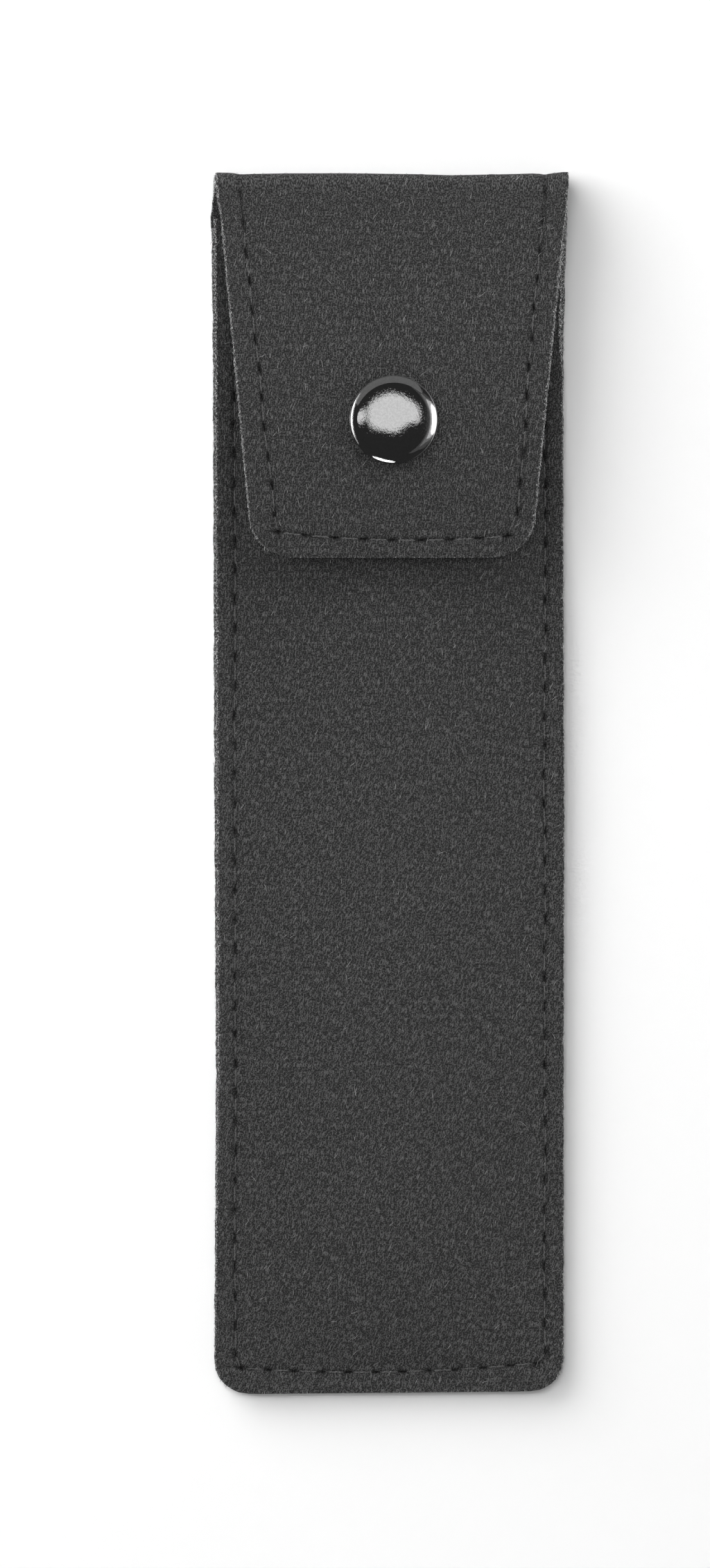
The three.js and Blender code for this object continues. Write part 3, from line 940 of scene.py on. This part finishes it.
def felt_material():
    """Pressed felt: a mat of fibres that mostly lie along the case, lighter where it is cut, with
    painted shade at needle holes, seam grooves and between sewn layers, and a painted sheen at the
    fold.
    """
    shader = Shader("pressed_felt", Roughness=0.95, Specular_IOR_Level=0.1)
    vector = shader.add("UVMap", uv_map="felt_mm").outputs[0]
    fibres = felt_fibres(shader, vector)
    drawn_out = shader.add("Mapping", {"Vector": vector, "Scale": GRAIN_SCALE}).outputs[0]
    fine = shader.noise(drawn_out, 1.0, detail=0.0)
    tone = shader.math("MULTIPLY_ADD", fibres, 0.66, shader.ease(fine, 0.34, 0.66, -0.3, 0.35))
    face = shader.mix(shader.math("MAXIMUM", tone, 0.0), *map(grey, FACE_GREYS))

    speckle = shader.noise(vector, SPECKLE_SCALE, detail=3.0, roughness=0.85)
    cut_face = shader.mix(shader.ease(speckle, 0.545, 0.6), *map(grey, CUT_GREYS))
    cut = shader.add("Attribute", attribute_name="cut").outputs["Fac"]
    ragged_cut = shader.math("ADD", cut, shader.math("SUBTRACT", fine, 0.5))
    colour = shader.mix(shader.ease(ragged_cut, 0.3, 0.8), face, cut_face)
    # Painted shade: the 'hole' attribute darkens needle holes, seam grooves and the layer line
    # towards near black.
    hole = shader.add("Attribute", attribute_name="hole").outputs["Fac"]
    colour = shader.mix(shader.math("MULTIPLY", hole, PAINTED_SHADE_SHARE), colour, grey(PAINTED_SHADE_GREY))

    relief = shader.math("MULTIPLY_ADD", fibres, 0.7, fine)
    relief = shader.math("MULTIPLY_ADD", speckle, cut, relief)
    normal = shader.bump(relief, FELT_RELIEF * MM, 0.8)
    shader.fill(shader.surface, {"Base Color": colour, "Normal": normal})
    return shader.material


def fibre_material(name, dark, light):
    """Loose fibres, lighter than the mat they lie on and each of its own shade."""
    shader = Shader(name, Roughness=0.9, Specular_IOR_Level=0.1)
    island = shader.add("NewGeometry").outputs["Random Per Island"]
    colour = shader.mix(shader.ease(island, 0.0, 1.0), grey(dark), grey(light))
    shader.fill(shader.surface, {"Base Color": colour})
    return shader.material


def thread_material():
    """Sewing thread of the felt's own grey, with the fine lines of its twist."""
    shader = Shader("sewing_thread", Roughness=0.85, Specular_IOR_Level=0.2)
    place = shader.add("TexCoord").outputs["Object"]
    fine = shader.noise(place, 1 / (0.16 * MM), detail=2.0)
    colour = shader.mix(shader.ease(fine, 0.3, 0.7), grey(48), grey(108))
    shader.fill(shader.surface, {"Base Color": colour, "Normal": shader.bump(fine, 0.03 * MM)})
    return shader.material


def enamel_material():
    """Gloss black lacquer with a slight orange peel."""
    shader = Shader("black_enamel", Roughness=0.05, IOR=1.7)
    place = shader.add("TexCoord").outputs["Object"]
    peel = shader.noise(place, 1 / (0.3 * MM), detail=2.0, roughness=0.7)
    wide = shader.noise(place, 1 / (3 * MM), detail=1.0)
    height = shader.math("MULTIPLY_ADD", wide, 1.5, peel)
    shade = shader.mix(wide, grey(9), grey(14))
    rough = shader.ease(peel, 0.3, 0.7, 0.004, 0.02)
    shader.fill(
        shader.surface,
        {
            "Base Color": shade,
            "Roughness": rough,
            "Specular IOR Level": shader.ease(peel, 0.35, 0.65, 0.46, 0.54),
            "Normal": shader.bump(height, 0.005 * MM),
        },
    )
    return shader.material


def steel_material():
    """Plated steel, turned, with fine rings and a little tarnish."""
    shader = Shader("plated_steel", Metallic=1.0, Roughness=0.25)
    place = shader.add("TexCoord").outputs["Object"]
    cloud = shader.noise(place, 1 / (1.5 * MM), detail=3.0)
    fine = shader.noise(place, 1 / (0.12 * MM), detail=1.0)
    colour = shader.mix(shader.ease(cloud, 0.3, 0.7), grey(172, 2), grey(205, 1))
    rough = shader.ease(cloud, 0.3, 0.7, 0.2, 0.36)
    shader.fill(
        shader.surface,
        {"Base Color": colour, "Roughness": rough, "Normal": shader.bump(fine, 0.002 * MM)},
    )
    return shader.material


# The snap

CAP_CROWN = 0.144
CAP_BEVEL = 0.6
CAP_BEVEL_CURVE = 0.16
BEVEL_IN = 4.95
BEVEL_OUT = 5.55
CAP_EDGE_ROUND = 0.12
CAP_LIP_IN = 0.55
CAP_SHEET = 0.4
CAP_ROLL_TURNS = (50, -60)
CAP_ROLL_SHARE = 0.8
CAP_HOLLOW_IN = 0.15
CAP_HOLLOW_START = 0.5
CAP_SEGMENTS = 160


def cap_slope(radius):
    """How steeply the cap's dome falls at a radius."""
    bevel = CAP_BEVEL * smooth((radius - BEVEL_IN) / (BEVEL_OUT - BEVEL_IN))
    curve = CAP_BEVEL_CURVE * np.clip((radius - BEVEL_OUT) / (CAP_RADIUS - BEVEL_OUT), 0, 1)
    return CAP_CROWN * radius / CAP_RADIUS + bevel + curve


def cap_profile():
    """The cap's section: domed top, bevelled shoulder, rolled edge and the hollow under it."""
    edge_x = CAP_RADIUS - CAP_EDGE_ROUND
    crown = np.linspace(0, BEVEL_IN, 14)
    shoulder = np.linspace(BEVEL_IN, edge_x, 16)
    radius = np.concatenate([crown, shoulder[1:]])
    fine = np.linspace(0, CAP_RADIUS, 400)
    fall = np.concatenate([[0], np.cumsum(np.diff(fine) * cap_slope((fine[1:] + fine[:-1]) / 2))])
    height = cap_high[2] - np.interp(radius, fine, fall)
    outer = list(zip(radius, height))
    edge_z = height[-1] - CAP_EDGE_ROUND * CAP_ROLL_SHARE
    roll = [
        (edge_x + CAP_EDGE_ROUND * math.cos(a), edge_z + CAP_EDGE_ROUND * math.sin(a))
        for a in np.radians(np.linspace(*CAP_ROLL_TURNS, 8))
    ]
    lip = [(CAP_RADIUS - CAP_LIP_IN, cap_low[2]), (CAP_RADIUS - CAP_LIP_IN - CAP_SHEET, cap_low[2])]
    hollow = [(r - CAP_HOLLOW_IN, z - CAP_SHEET) for r, z in reversed(outer) if r > CAP_HOLLOW_START]
    return outer + roll + lip + hollow + [(0, cap_high[2] - CAP_SHEET)]


# Sections of the bare parts: radii, and steps from a radius and a height

SOCKET_BORE = 2.7
SOCKET_WELL = 4.3
SOCKET_RIM = ((-0.4, 0), (-0.1, -0.15), (0, -0.45), (-0.1, -0.8), (-0.5, -1.0))
SOCKET_SHOULDER = ((0.3, 0.1), (0, -0.2))
SOCKET_FOOT = ((-0.1, 0.3), (-0.4, 0))
SOCKET_MOUTH = ((0.5, 0), (0.15, 0.12), (0, 0.4))
SPRING_WIRE = 0.25
SPRING_TURNS = (20, 340)
STUD_ROUND = 0.3
STUD_FLANGE = 0.8
STUD_RIM = ((-0.08, -0.12), (-0.35, 0))
STUD_FILLET = ((1.2, -0.12), (0.35, -0.05), (0, 0.3))
KNOB_NECK = 2.1
KNOB_HEAD = 2.35
KNOB_BORE = 0.85
KNOB_NECK_DOWN = 1.1
KNOB_ROUND = ((-0.05, -0.8), (0, -0.5), (-0.12, -0.15), (-0.45, 0))
KNOB_MOUTH = ((0.5, 0), (0.15, -0.15), (0, -0.5))
EYELET_HOLE = 0.6
EYELET_DIP = 0.1
EYELET_BORE = 1.5
EYELET_RIM = ((-0.2, 0.05), (0, 0.3), (-0.15, 0.6))
EYELET_SHOULDER = ((0.4, 0.7), (-0.1, 1.0))


def run(radius, height, steps):
    """Points of a section, by their steps from a radius and a height."""
    return [(radius + out, height + up) for out, up in steps]


def socket_profile():
    """The socket's section: a disc with a rolled rim and a stepped well about its bore."""
    outer = (socket_high[0] - socket_low[0]) / 2
    top, low = socket_high[2], socket_low[2]
    return [
        (SOCKET_BORE, top),
        *run(outer, top, SOCKET_RIM),
        *run(SOCKET_WELL, (top + low) / 2, SOCKET_SHOULDER),
        *run(SOCKET_WELL, low, SOCKET_FOOT),
        *run(SOCKET_BORE, low, SOCKET_MOUTH),
    ]


def stud_profile():
    """The stud's section: a flange with a rolled rim and a hollow knob with a wider head."""
    outer = (stud_high[0] - stud_low[0]) / 2
    top, low = stud_high[2], stud_low[2]
    flange = low + STUD_FLANGE
    return [
        (KNOB_BORE, low),
        (outer - STUD_ROUND, low),
        (outer, low + STUD_ROUND),
        *run(outer, flange, STUD_RIM),
        *run(KNOB_NECK, flange, STUD_FILLET),
        (KNOB_NECK, top - KNOB_NECK_DOWN),
        *run(KNOB_HEAD, top, KNOB_ROUND),
        *run(KNOB_BORE, top, KNOB_MOUTH),
    ]


def eyelet_profile():
    """The eyelet's section: a flange inside the pocket and a barrel up through the felt."""
    outer = (eyelet_high[0] - eyelet_low[0]) / 2
    top, low = eyelet_high[2], eyelet_low[2]
    shoulder = run(EYELET_BORE, low, EYELET_SHOULDER)
    return [
        (EYELET_HOLE, low + EYELET_DIP),
        (EYELET_BORE, low),
        *run(outer, low, EYELET_RIM),
        *shoulder,
        (shoulder[-1][0], top),
        (EYELET_HOLE, top),
    ]


def make_spring(steel):
    """The open wire ring that grips the stud's knob."""
    radius = (spring_high[0] - spring_low[0]) / 2 - SPRING_WIRE
    turn = np.linspace(*map(math.radians, SPRING_TURNS), 48)
    middle = (spring_low[2] + spring_high[2]) / 2
    x = SNAP[0] + radius * np.cos(turn)
    y = SNAP[1] + radius * np.sin(turn)
    path = np.stack([x, y, middle + 0 * turn], 1)
    return tubes("snap_spring_wire", path[None], SPRING_WIRE, 10, steel)


def make_snap(enamel, steel):
    """Every part of the press snap."""
    cap = turned("snap_cap_shell", cap_profile(), SNAP, enamel, segments=CAP_SEGMENTS)
    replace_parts(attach(cap, "flap"), "snap_cap")
    bare = {
        "snap_socket": (turned("snap_socket_shell", socket_profile(), SNAP, steel), "flap"),
        "snap_stud": (turned("snap_stud_shell", stud_profile(), SNAP, steel), "pocket"),
        "snap_eyelet": (turned("snap_eyelet_shell", eyelet_profile(), SNAP, steel), "pocket"),
        "snap_spring": (make_spring(steel), "flap"),
    }
    for node, (piece, body) in bare.items():
        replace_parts(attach(piece, body), node)
    post = frame["nodes"]["snap_cap_post"]
    post.data.materials.clear()
    post.data.materials.append(steel)


# Stage, lamps and camera

PIXELS = (1024, 2260)
PIXELS_PER_MM = 10.2
PHOTO_ORIGIN = (562.5, 1129.3)
LENS = 600
SENSOR = 36
CAMERA_LEVEL = 6
WORLD_LEVEL = 0.2
FLOOR_HALF = 20
FLOOR_GAP = 0.03
FLOOR_ALBEDO = 0.9
FLOOR_GLOW = 0.045
GLOW_RAMP = (0.13, 0.7)
CLIP_END = 100


def camera_place():
    """Where the camera stands, in millimetres, for the photograph's scale and framing."""
    height = PIXELS[1] / PIXELS_PER_MM * LENS / SENSOR
    x = (PIXELS[0] / 2 - PHOTO_ORIGIN[0]) / PIXELS_PER_MM
    y = (PHOTO_ORIGIN[1] - PIXELS[1] / 2) / PIXELS_PER_MM
    return np.array([x, y, CAMERA_LEVEL + height])


def make_camera():
    """A long lens straight above the case."""
    data = bpy.data.cameras.new("photo_camera")
    data.lens = LENS
    data.sensor_width = SENSOR
    data.clip_end = CLIP_END
    camera = bpy.data.objects.new("photo_camera", data)
    camera.location = Vector(camera_place() * MM)
    bpy.context.scene.collection.objects.link(camera)
    bpy.context.scene.camera = camera


def make_floor():
    """A wide pale table that shows white around the case and keeps its shadow."""
    shader = Shader("pale_table", Roughness=1.0)
    colour = (FLOOR_ALBEDO,) * 3 + (1.0,)
    shader.fill(shader.surface, {"Base Color": colour, "Specular IOR Level": 0.0})
    place = shader.add("TexCoord").outputs["Object"]
    far = shader.add("VectorMath", {0: place}, operation="LENGTH").outputs["Value"]
    glow = shader.ease(far, *GLOW_RAMP, FLOOR_GLOW, 1.0)
    path = shader.add("LightPath").outputs
    seen = shader.math("MAXIMUM", path["Is Camera Ray"], path["Is Glossy Ray"])
    seen = shader.math("MAXIMUM", seen, path["Is Transmission Ray"])
    strength = shader.math("MULTIPLY", glow, seen)
    shader.fill(shader.surface, {"Emission Color": (1, 1, 1, 1), "Emission Strength": strength})
    corners = [(x * FLOOR_HALF, y * FLOOR_HALF, 0) for x, y in ((-1, -1), (1, -1), (1, 1), (-1, 1))]
    floor = new_piece("table", np.array(corners) / MM, [(0, 1, 2, 3)], shader.material)
    floor.location.z = -FLOOR_GAP * MM
    return floor


def mirrored(x, y):
    """The way a look from the camera goes on from a point of the cap, given from its middle."""
    radius = max(math.hypot(x, y), 1e-6)
    slope = float(cap_slope(radius))
    normal = np.array([slope * x / radius, slope * y / radius, 1])
    normal /= np.linalg.norm(normal)
    look = camera_place() - np.array([SNAP[0] + x, SNAP[1] + y, cap_high[2]])
    look /= np.linalg.norm(look)
    return 2 * (normal @ look) * normal - look


def new_lamp(name, shape, size, power):
    """A lamp of even brightness; its size is in metres and its power in watts."""
    data = bpy.data.lights.new(name, "AREA")
    data.shape = shape
    data.size, data.size_y = size
    data.energy = power
    lamp = bpy.data.objects.new(name, data)
    bpy.context.scene.collection.objects.link(lamp)
    return lamp


def from_angles(azimuth, elevation):
    """A direction by its angle round from +x and its angle above the table, in degrees."""
    turn, rise = math.radians(azimuth), math.radians(elevation)
    return (math.cos(rise) * math.cos(turn), math.cos(rise) * math.sin(turn), math.sin(rise))


BANK_DISTANCE = 1.6
BANK_RADIANCE = 8.1

# Strips of the bank as the cap mirrors them: x from and to, y from and to, in mm from its middle

BANK_STRIPS = (
    (-5.1, -4.85, -0.4, 0.75),
    (-4.85, -4.45, -0.55, 1.15),
    (-4.45, -4.0, -0.15, 1.5),
    (-3.7, -3.3, -0.5, 2.0),
    (-3.3, -2.8, -1.1, 2.5),
    (-2.8, -2.2, -1.35, 2.95),
    (-2.2, -1.5, -1.5, 3.35),
    (-1.5, -0.75, -1.65, 3.65),
    (-0.75, 0, -1.8, 3.8),
    (0, 0.6, -1.75, 3.75),
    (0.6, 1.1, -1.5, 3.6),
    (1.1, 1.6, -1.15, 3.45),
    (1.6, 2.1, -0.8, 3.2),
    (2.1, 2.6, -0.55, 2.9),
    (2.6, 3.1, -0.5, 2.5),
    (3.1, 3.55, -0.45, 2.05),
    (3.55, 3.8, -0.2, 1.4),
)


def overhead_bank():
    """Lamp strips side by side overhead, each given by where the cap mirrors it."""
    for number, (x0, x1, y0, y1) in enumerate(BANK_STRIPS):
        corners = [mirrored(x, y) for x in (x0, x1) for y in (y0, y1)]
        spots = [BANK_DISTANCE * way / way[2] for way in corners]
        width = abs(spots[2][0] + spots[3][0] - spots[0][0] - spots[1][0]) / 2
        height = abs(spots[1][1] + spots[3][1] - spots[0][1] - spots[2][1]) / 2
        power = BANK_RADIANCE * math.pi * width * height
        lamp = new_lamp(f"overhead_{number}", "RECTANGLE", (width, height), power)
        lamp.location = Vector(SNAP * MM) + Vector(sum(spots) / 4)


# Cards that the cap's shoulder mirrors: angles from and to, radii from and to, brightness

RIM_DISTANCE = 1.0
RIM_PANELS = {
    "left_wide": ((140, 216), (5.74, 6.24), 3.5),
    "left": ((150, 204), (5.86, 6.22), 11.0),
    "right_dim": ((-50, 46), (4.85, 6.24), 0.4),
    "right_wide": ((-36, 36), (5.1, 6.24), 0.8),
    "right_soft": ((-27, 30), (5.25, 6.22), 3.0),
    "right": ((-20, 22), (5.42, 6.2), 9.0),
    "top": ((48, 154), (5.2, 6.24), 0.95),
    "low_left": ((241, 271), (5.78, 6.2), 18.0),
}

# Round lamps: azimuth and elevation, half angle, distance, share of a white card's light

CASE_LAMPS = {
    "case_left": ((150, 42), 26, 0.5, 0.242),
    "case_right": ((30, 42), 26, 0.5, 0.202),
    "case_far": ((90, 34), 16, 0.5, 0.14),
    "case_near": ((270, 40), 24, 2.0, 0.12),
}
FOLD_LAMPS = {"fold_low": ((90, 5), 4, 0.6, 0.033)}
FOLD_PIECES = ("felt_back", "felt_flap", "fuzz_flap", "thread_flap_outer")
TABLE_LAMPS = {"table_fill": ((270, 78), 26, 0.8, 0.075)}
TABLE_KEYS = {
    "table_key": ((142, 36), 30, 1.2, 0.63),
    "table_high": ((150, 68), 18, 1.4, 0.08),
}
KEY_BLOCKERS = ("felt_front", "felt_back", "thread_front", "thread_back")


def rim_panels():
    """Low lamps that show only as light lines on the cap's shoulder."""
    for name, (turns, radii, radiance) in RIM_PANELS.items():
        middle = math.radians(sum(turns) / 2)
        ways = [mirrored(radius * math.cos(middle), radius * math.sin(middle)) for radius in radii]
        rises = [math.degrees(math.asin(way[2])) for way in ways]
        half_width = math.radians(turns[1] - turns[0]) / 2
        half_height = math.radians(abs(rises[0] - rises[1])) / 2
        size = [2 * RIM_DISTANCE * math.tan(half) for half in (half_width, half_height)]
        power = radiance * math.pi * size[0] * size[1]
        lamp = new_lamp(name, "ELLIPSE", size, power)
        place_lamp(lamp, (sum(turns) / 2, sum(rises) / 2), RIM_DISTANCE)
        lamp.visible_diffuse = False


def named(names):
    """The objects with the given names."""
    return [bpy.data.objects[name] for name in names]


def collection_of(name, pieces):
    """A collection that only says what a lamp reaches or what blocks it."""
    group = bpy.data.collections.new(name)
    for piece in pieces:
        group.objects.link(piece)
    return group


def soft_lamps(lamps, pieces, blockers=None):
    """Round soft lamps that reach some pieces alone."""
    for name, (angles, half_angle, distance, share) in lamps.items():
        size = 2 * distance * math.tan(math.radians(half_angle))
        power = share * math.pi**2 * distance**2 / math.sin(math.radians(angles[1]))
        lamp = new_lamp(name, "DISK", (size, size), power)
        place_lamp(lamp, angles, distance)
        lamp.visible_glossy = False
        lamp.light_linking.receiver_collection = collection_of(name, pieces)
        if blockers:
            lamp.light_linking.blocker_collection = collection_of(name + "_blocked", blockers)


def place_lamp(lamp, angles, distance):
    """Sets a lamp at a distance from the snap and turns it to face the snap."""
    way = Vector(from_angles(*angles))
    lamp.location = Vector(SNAP * MM) + way * distance
    lamp.rotation_euler = way.to_track_quat("Z", "Y").to_euler()


def make_world():
    """Even grey light from all round."""
    world = bpy.data.worlds.new("studio")
    world.use_nodes = True
    background = world.node_tree.nodes["Background"]
    background.inputs["Color"].default_value = (1, 1, 1, 1)
    background.inputs["Strength"].default_value = WORLD_LEVEL
    bpy.context.scene.world = world


# The case


def bend(piece, lower):
    """Bakes a piece of the strap into its place; the lower and the upper piece are treated alike."""
    if lower:
        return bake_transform(piece)
    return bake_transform(piece)


# Each thread: its sheet, the face it shows on and the solid it stands for

THREADS = {
    "thread_front": ("felt_front", 1, "seam_thread_front"),
    "thread_back": ("felt_back", 1, "seam_thread_back"),
    "thread_flap_outer": ("felt_flap", 1, "flap_thread_outer"),
    "thread_flap_inner": ("felt_flap", -1, "flap_thread_inner"),
}

# Loose fibres: greys from and to, and for each sheet their count and seed

LYING_GREYS = (60, 200)
STANDING_GREYS = (70, 250)
FRONT_LYING = (900, 51)
FLAP_LYING = (420, 53)
FRONT_STANDING = (2600, 61)
BACK_STANDING = (2000, 62)
FLAP_STANDING = (1800, 63)
MOUTH_INSET = 3


def cut_sheets():
    """The sheets by name: the front, and the back and the flap with half of the fold each."""
    holes = strap_holes()
    body = (body_edges, front_lean, front_lift, stitches_between(holes, 0, FRONT_END))
    back = (strap_edges, strap_lean, strap_lift, stitches_between(holes, 0, SPLIT))
    flap = (strap_edges, strap_lean, strap_lift, stitches_between(holes, SPLIT, STRAP_END))
    sheets = (
        Sheet("felt_front", FRONT, 0, FRONT_END, *body, (True, True), 20),
        Sheet("felt_back", STRAP, 0, SPLIT, *back, (True, False), 20),
        Sheet("felt_flap", STRAP, SPLIT, STRAP_END, *flap, (False, True), 30),
    )
    return {sheet.name: sheet for sheet in sheets}


def make_threads(sheets):
    """The seam's threads on every face where they show."""
    thread = thread_material()
    made = {}
    for name, (sheet, side, node) in THREADS.items():
        made[name] = make_thread(name, sheets[sheet], side, thread)
        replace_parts(made[name], node)
    return made


def make_fuzz(sheets):
    """Loose fibres on the outer faces and on the cut sides."""
    lying = fibre_material("lying_fibre", *LYING_GREYS)
    standing = fibre_material("standing_fibre", *STANDING_GREYS)
    front, back, flap = sheets.values()
    flap_span = (SPLIT + FUZZ_INSET, STRAP_END - FUZZ_INSET)
    loose = {
        "fuzz_front": [
            (lying_fibres(front, *FRONT_LYING, (FUZZ_INSET, FRONT_END - MOUTH_INSET)), lying),
            (edge_fibres(front, *FRONT_STANDING, (FUZZ_INSET, FRONT_END)), standing),
        ],
        "fuzz_back": [
            (edge_fibres(back, *BACK_STANDING, (FUZZ_INSET, SPLIT - FUZZ_INSET)), standing),
        ],
        "fuzz_flap": [
            (lying_fibres(flap, *FLAP_LYING, flap_span), lying),
            (edge_fibres(flap, *FLAP_STANDING, flap_span), standing),
        ],
    }
    made = {}
    for name, groups in loose.items():
        tufts = [
            tubes(name, paths, FIBRE_RADIUS, FIBRE_SIDES, fibre, taper=True)
            for paths, fibre in groups
        ]
        made[name] = join(tufts)
    return made


def make_case():
    """The three felt pieces with their threads and loose fibres."""
    material = felt_material()
    sheets = cut_sheets()
    felt = {name: make_felt(sheet, material) for name, sheet in sheets.items()}
    made = {**felt, **make_threads(sheets), **make_fuzz(sheets)}
    for name in ("felt_front", "thread_front", "fuzz_front"):
        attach(made[name], "pocket")
    for name in ("felt_back", "thread_back", "fuzz_back"):
        bend(made[name], lower=True)
    for name in ("felt_flap", "thread_flap_outer", "thread_flap_inner", "fuzz_flap"):
        bend(made[name], lower=False)
    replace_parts(felt["felt_front"], "front_panel")
    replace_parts(felt["felt_back"], "back_panel", "fold_strip")
    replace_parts(felt["felt_flap"], "flap_panel")


def join(pieces):
    """One object from several."""
    if len(pieces) == 1:
        return pieces[0]
    with bpy.context.temp_override(active_object=pieces[0], selected_editable_objects=pieces):
        bpy.ops.object.join()
    return pieces[0]


make_case()
make_snap(enamel_material(), steel_material())
case_pieces = [piece for piece in bpy.context.scene.objects if piece.type == "MESH"]
table = make_floor()
make_world()
overhead_bank()
rim_panels()
soft_lamps(CASE_LAMPS, case_pieces)
soft_lamps(FOLD_LAMPS, named(FOLD_PIECES))
soft_lamps(TABLE_LAMPS, [table])
soft_lamps(TABLE_KEYS, [table], named(KEY_BLOCKERS))
make_camera()
bpy.context.scene.view_settings.view_transform = "Standard"
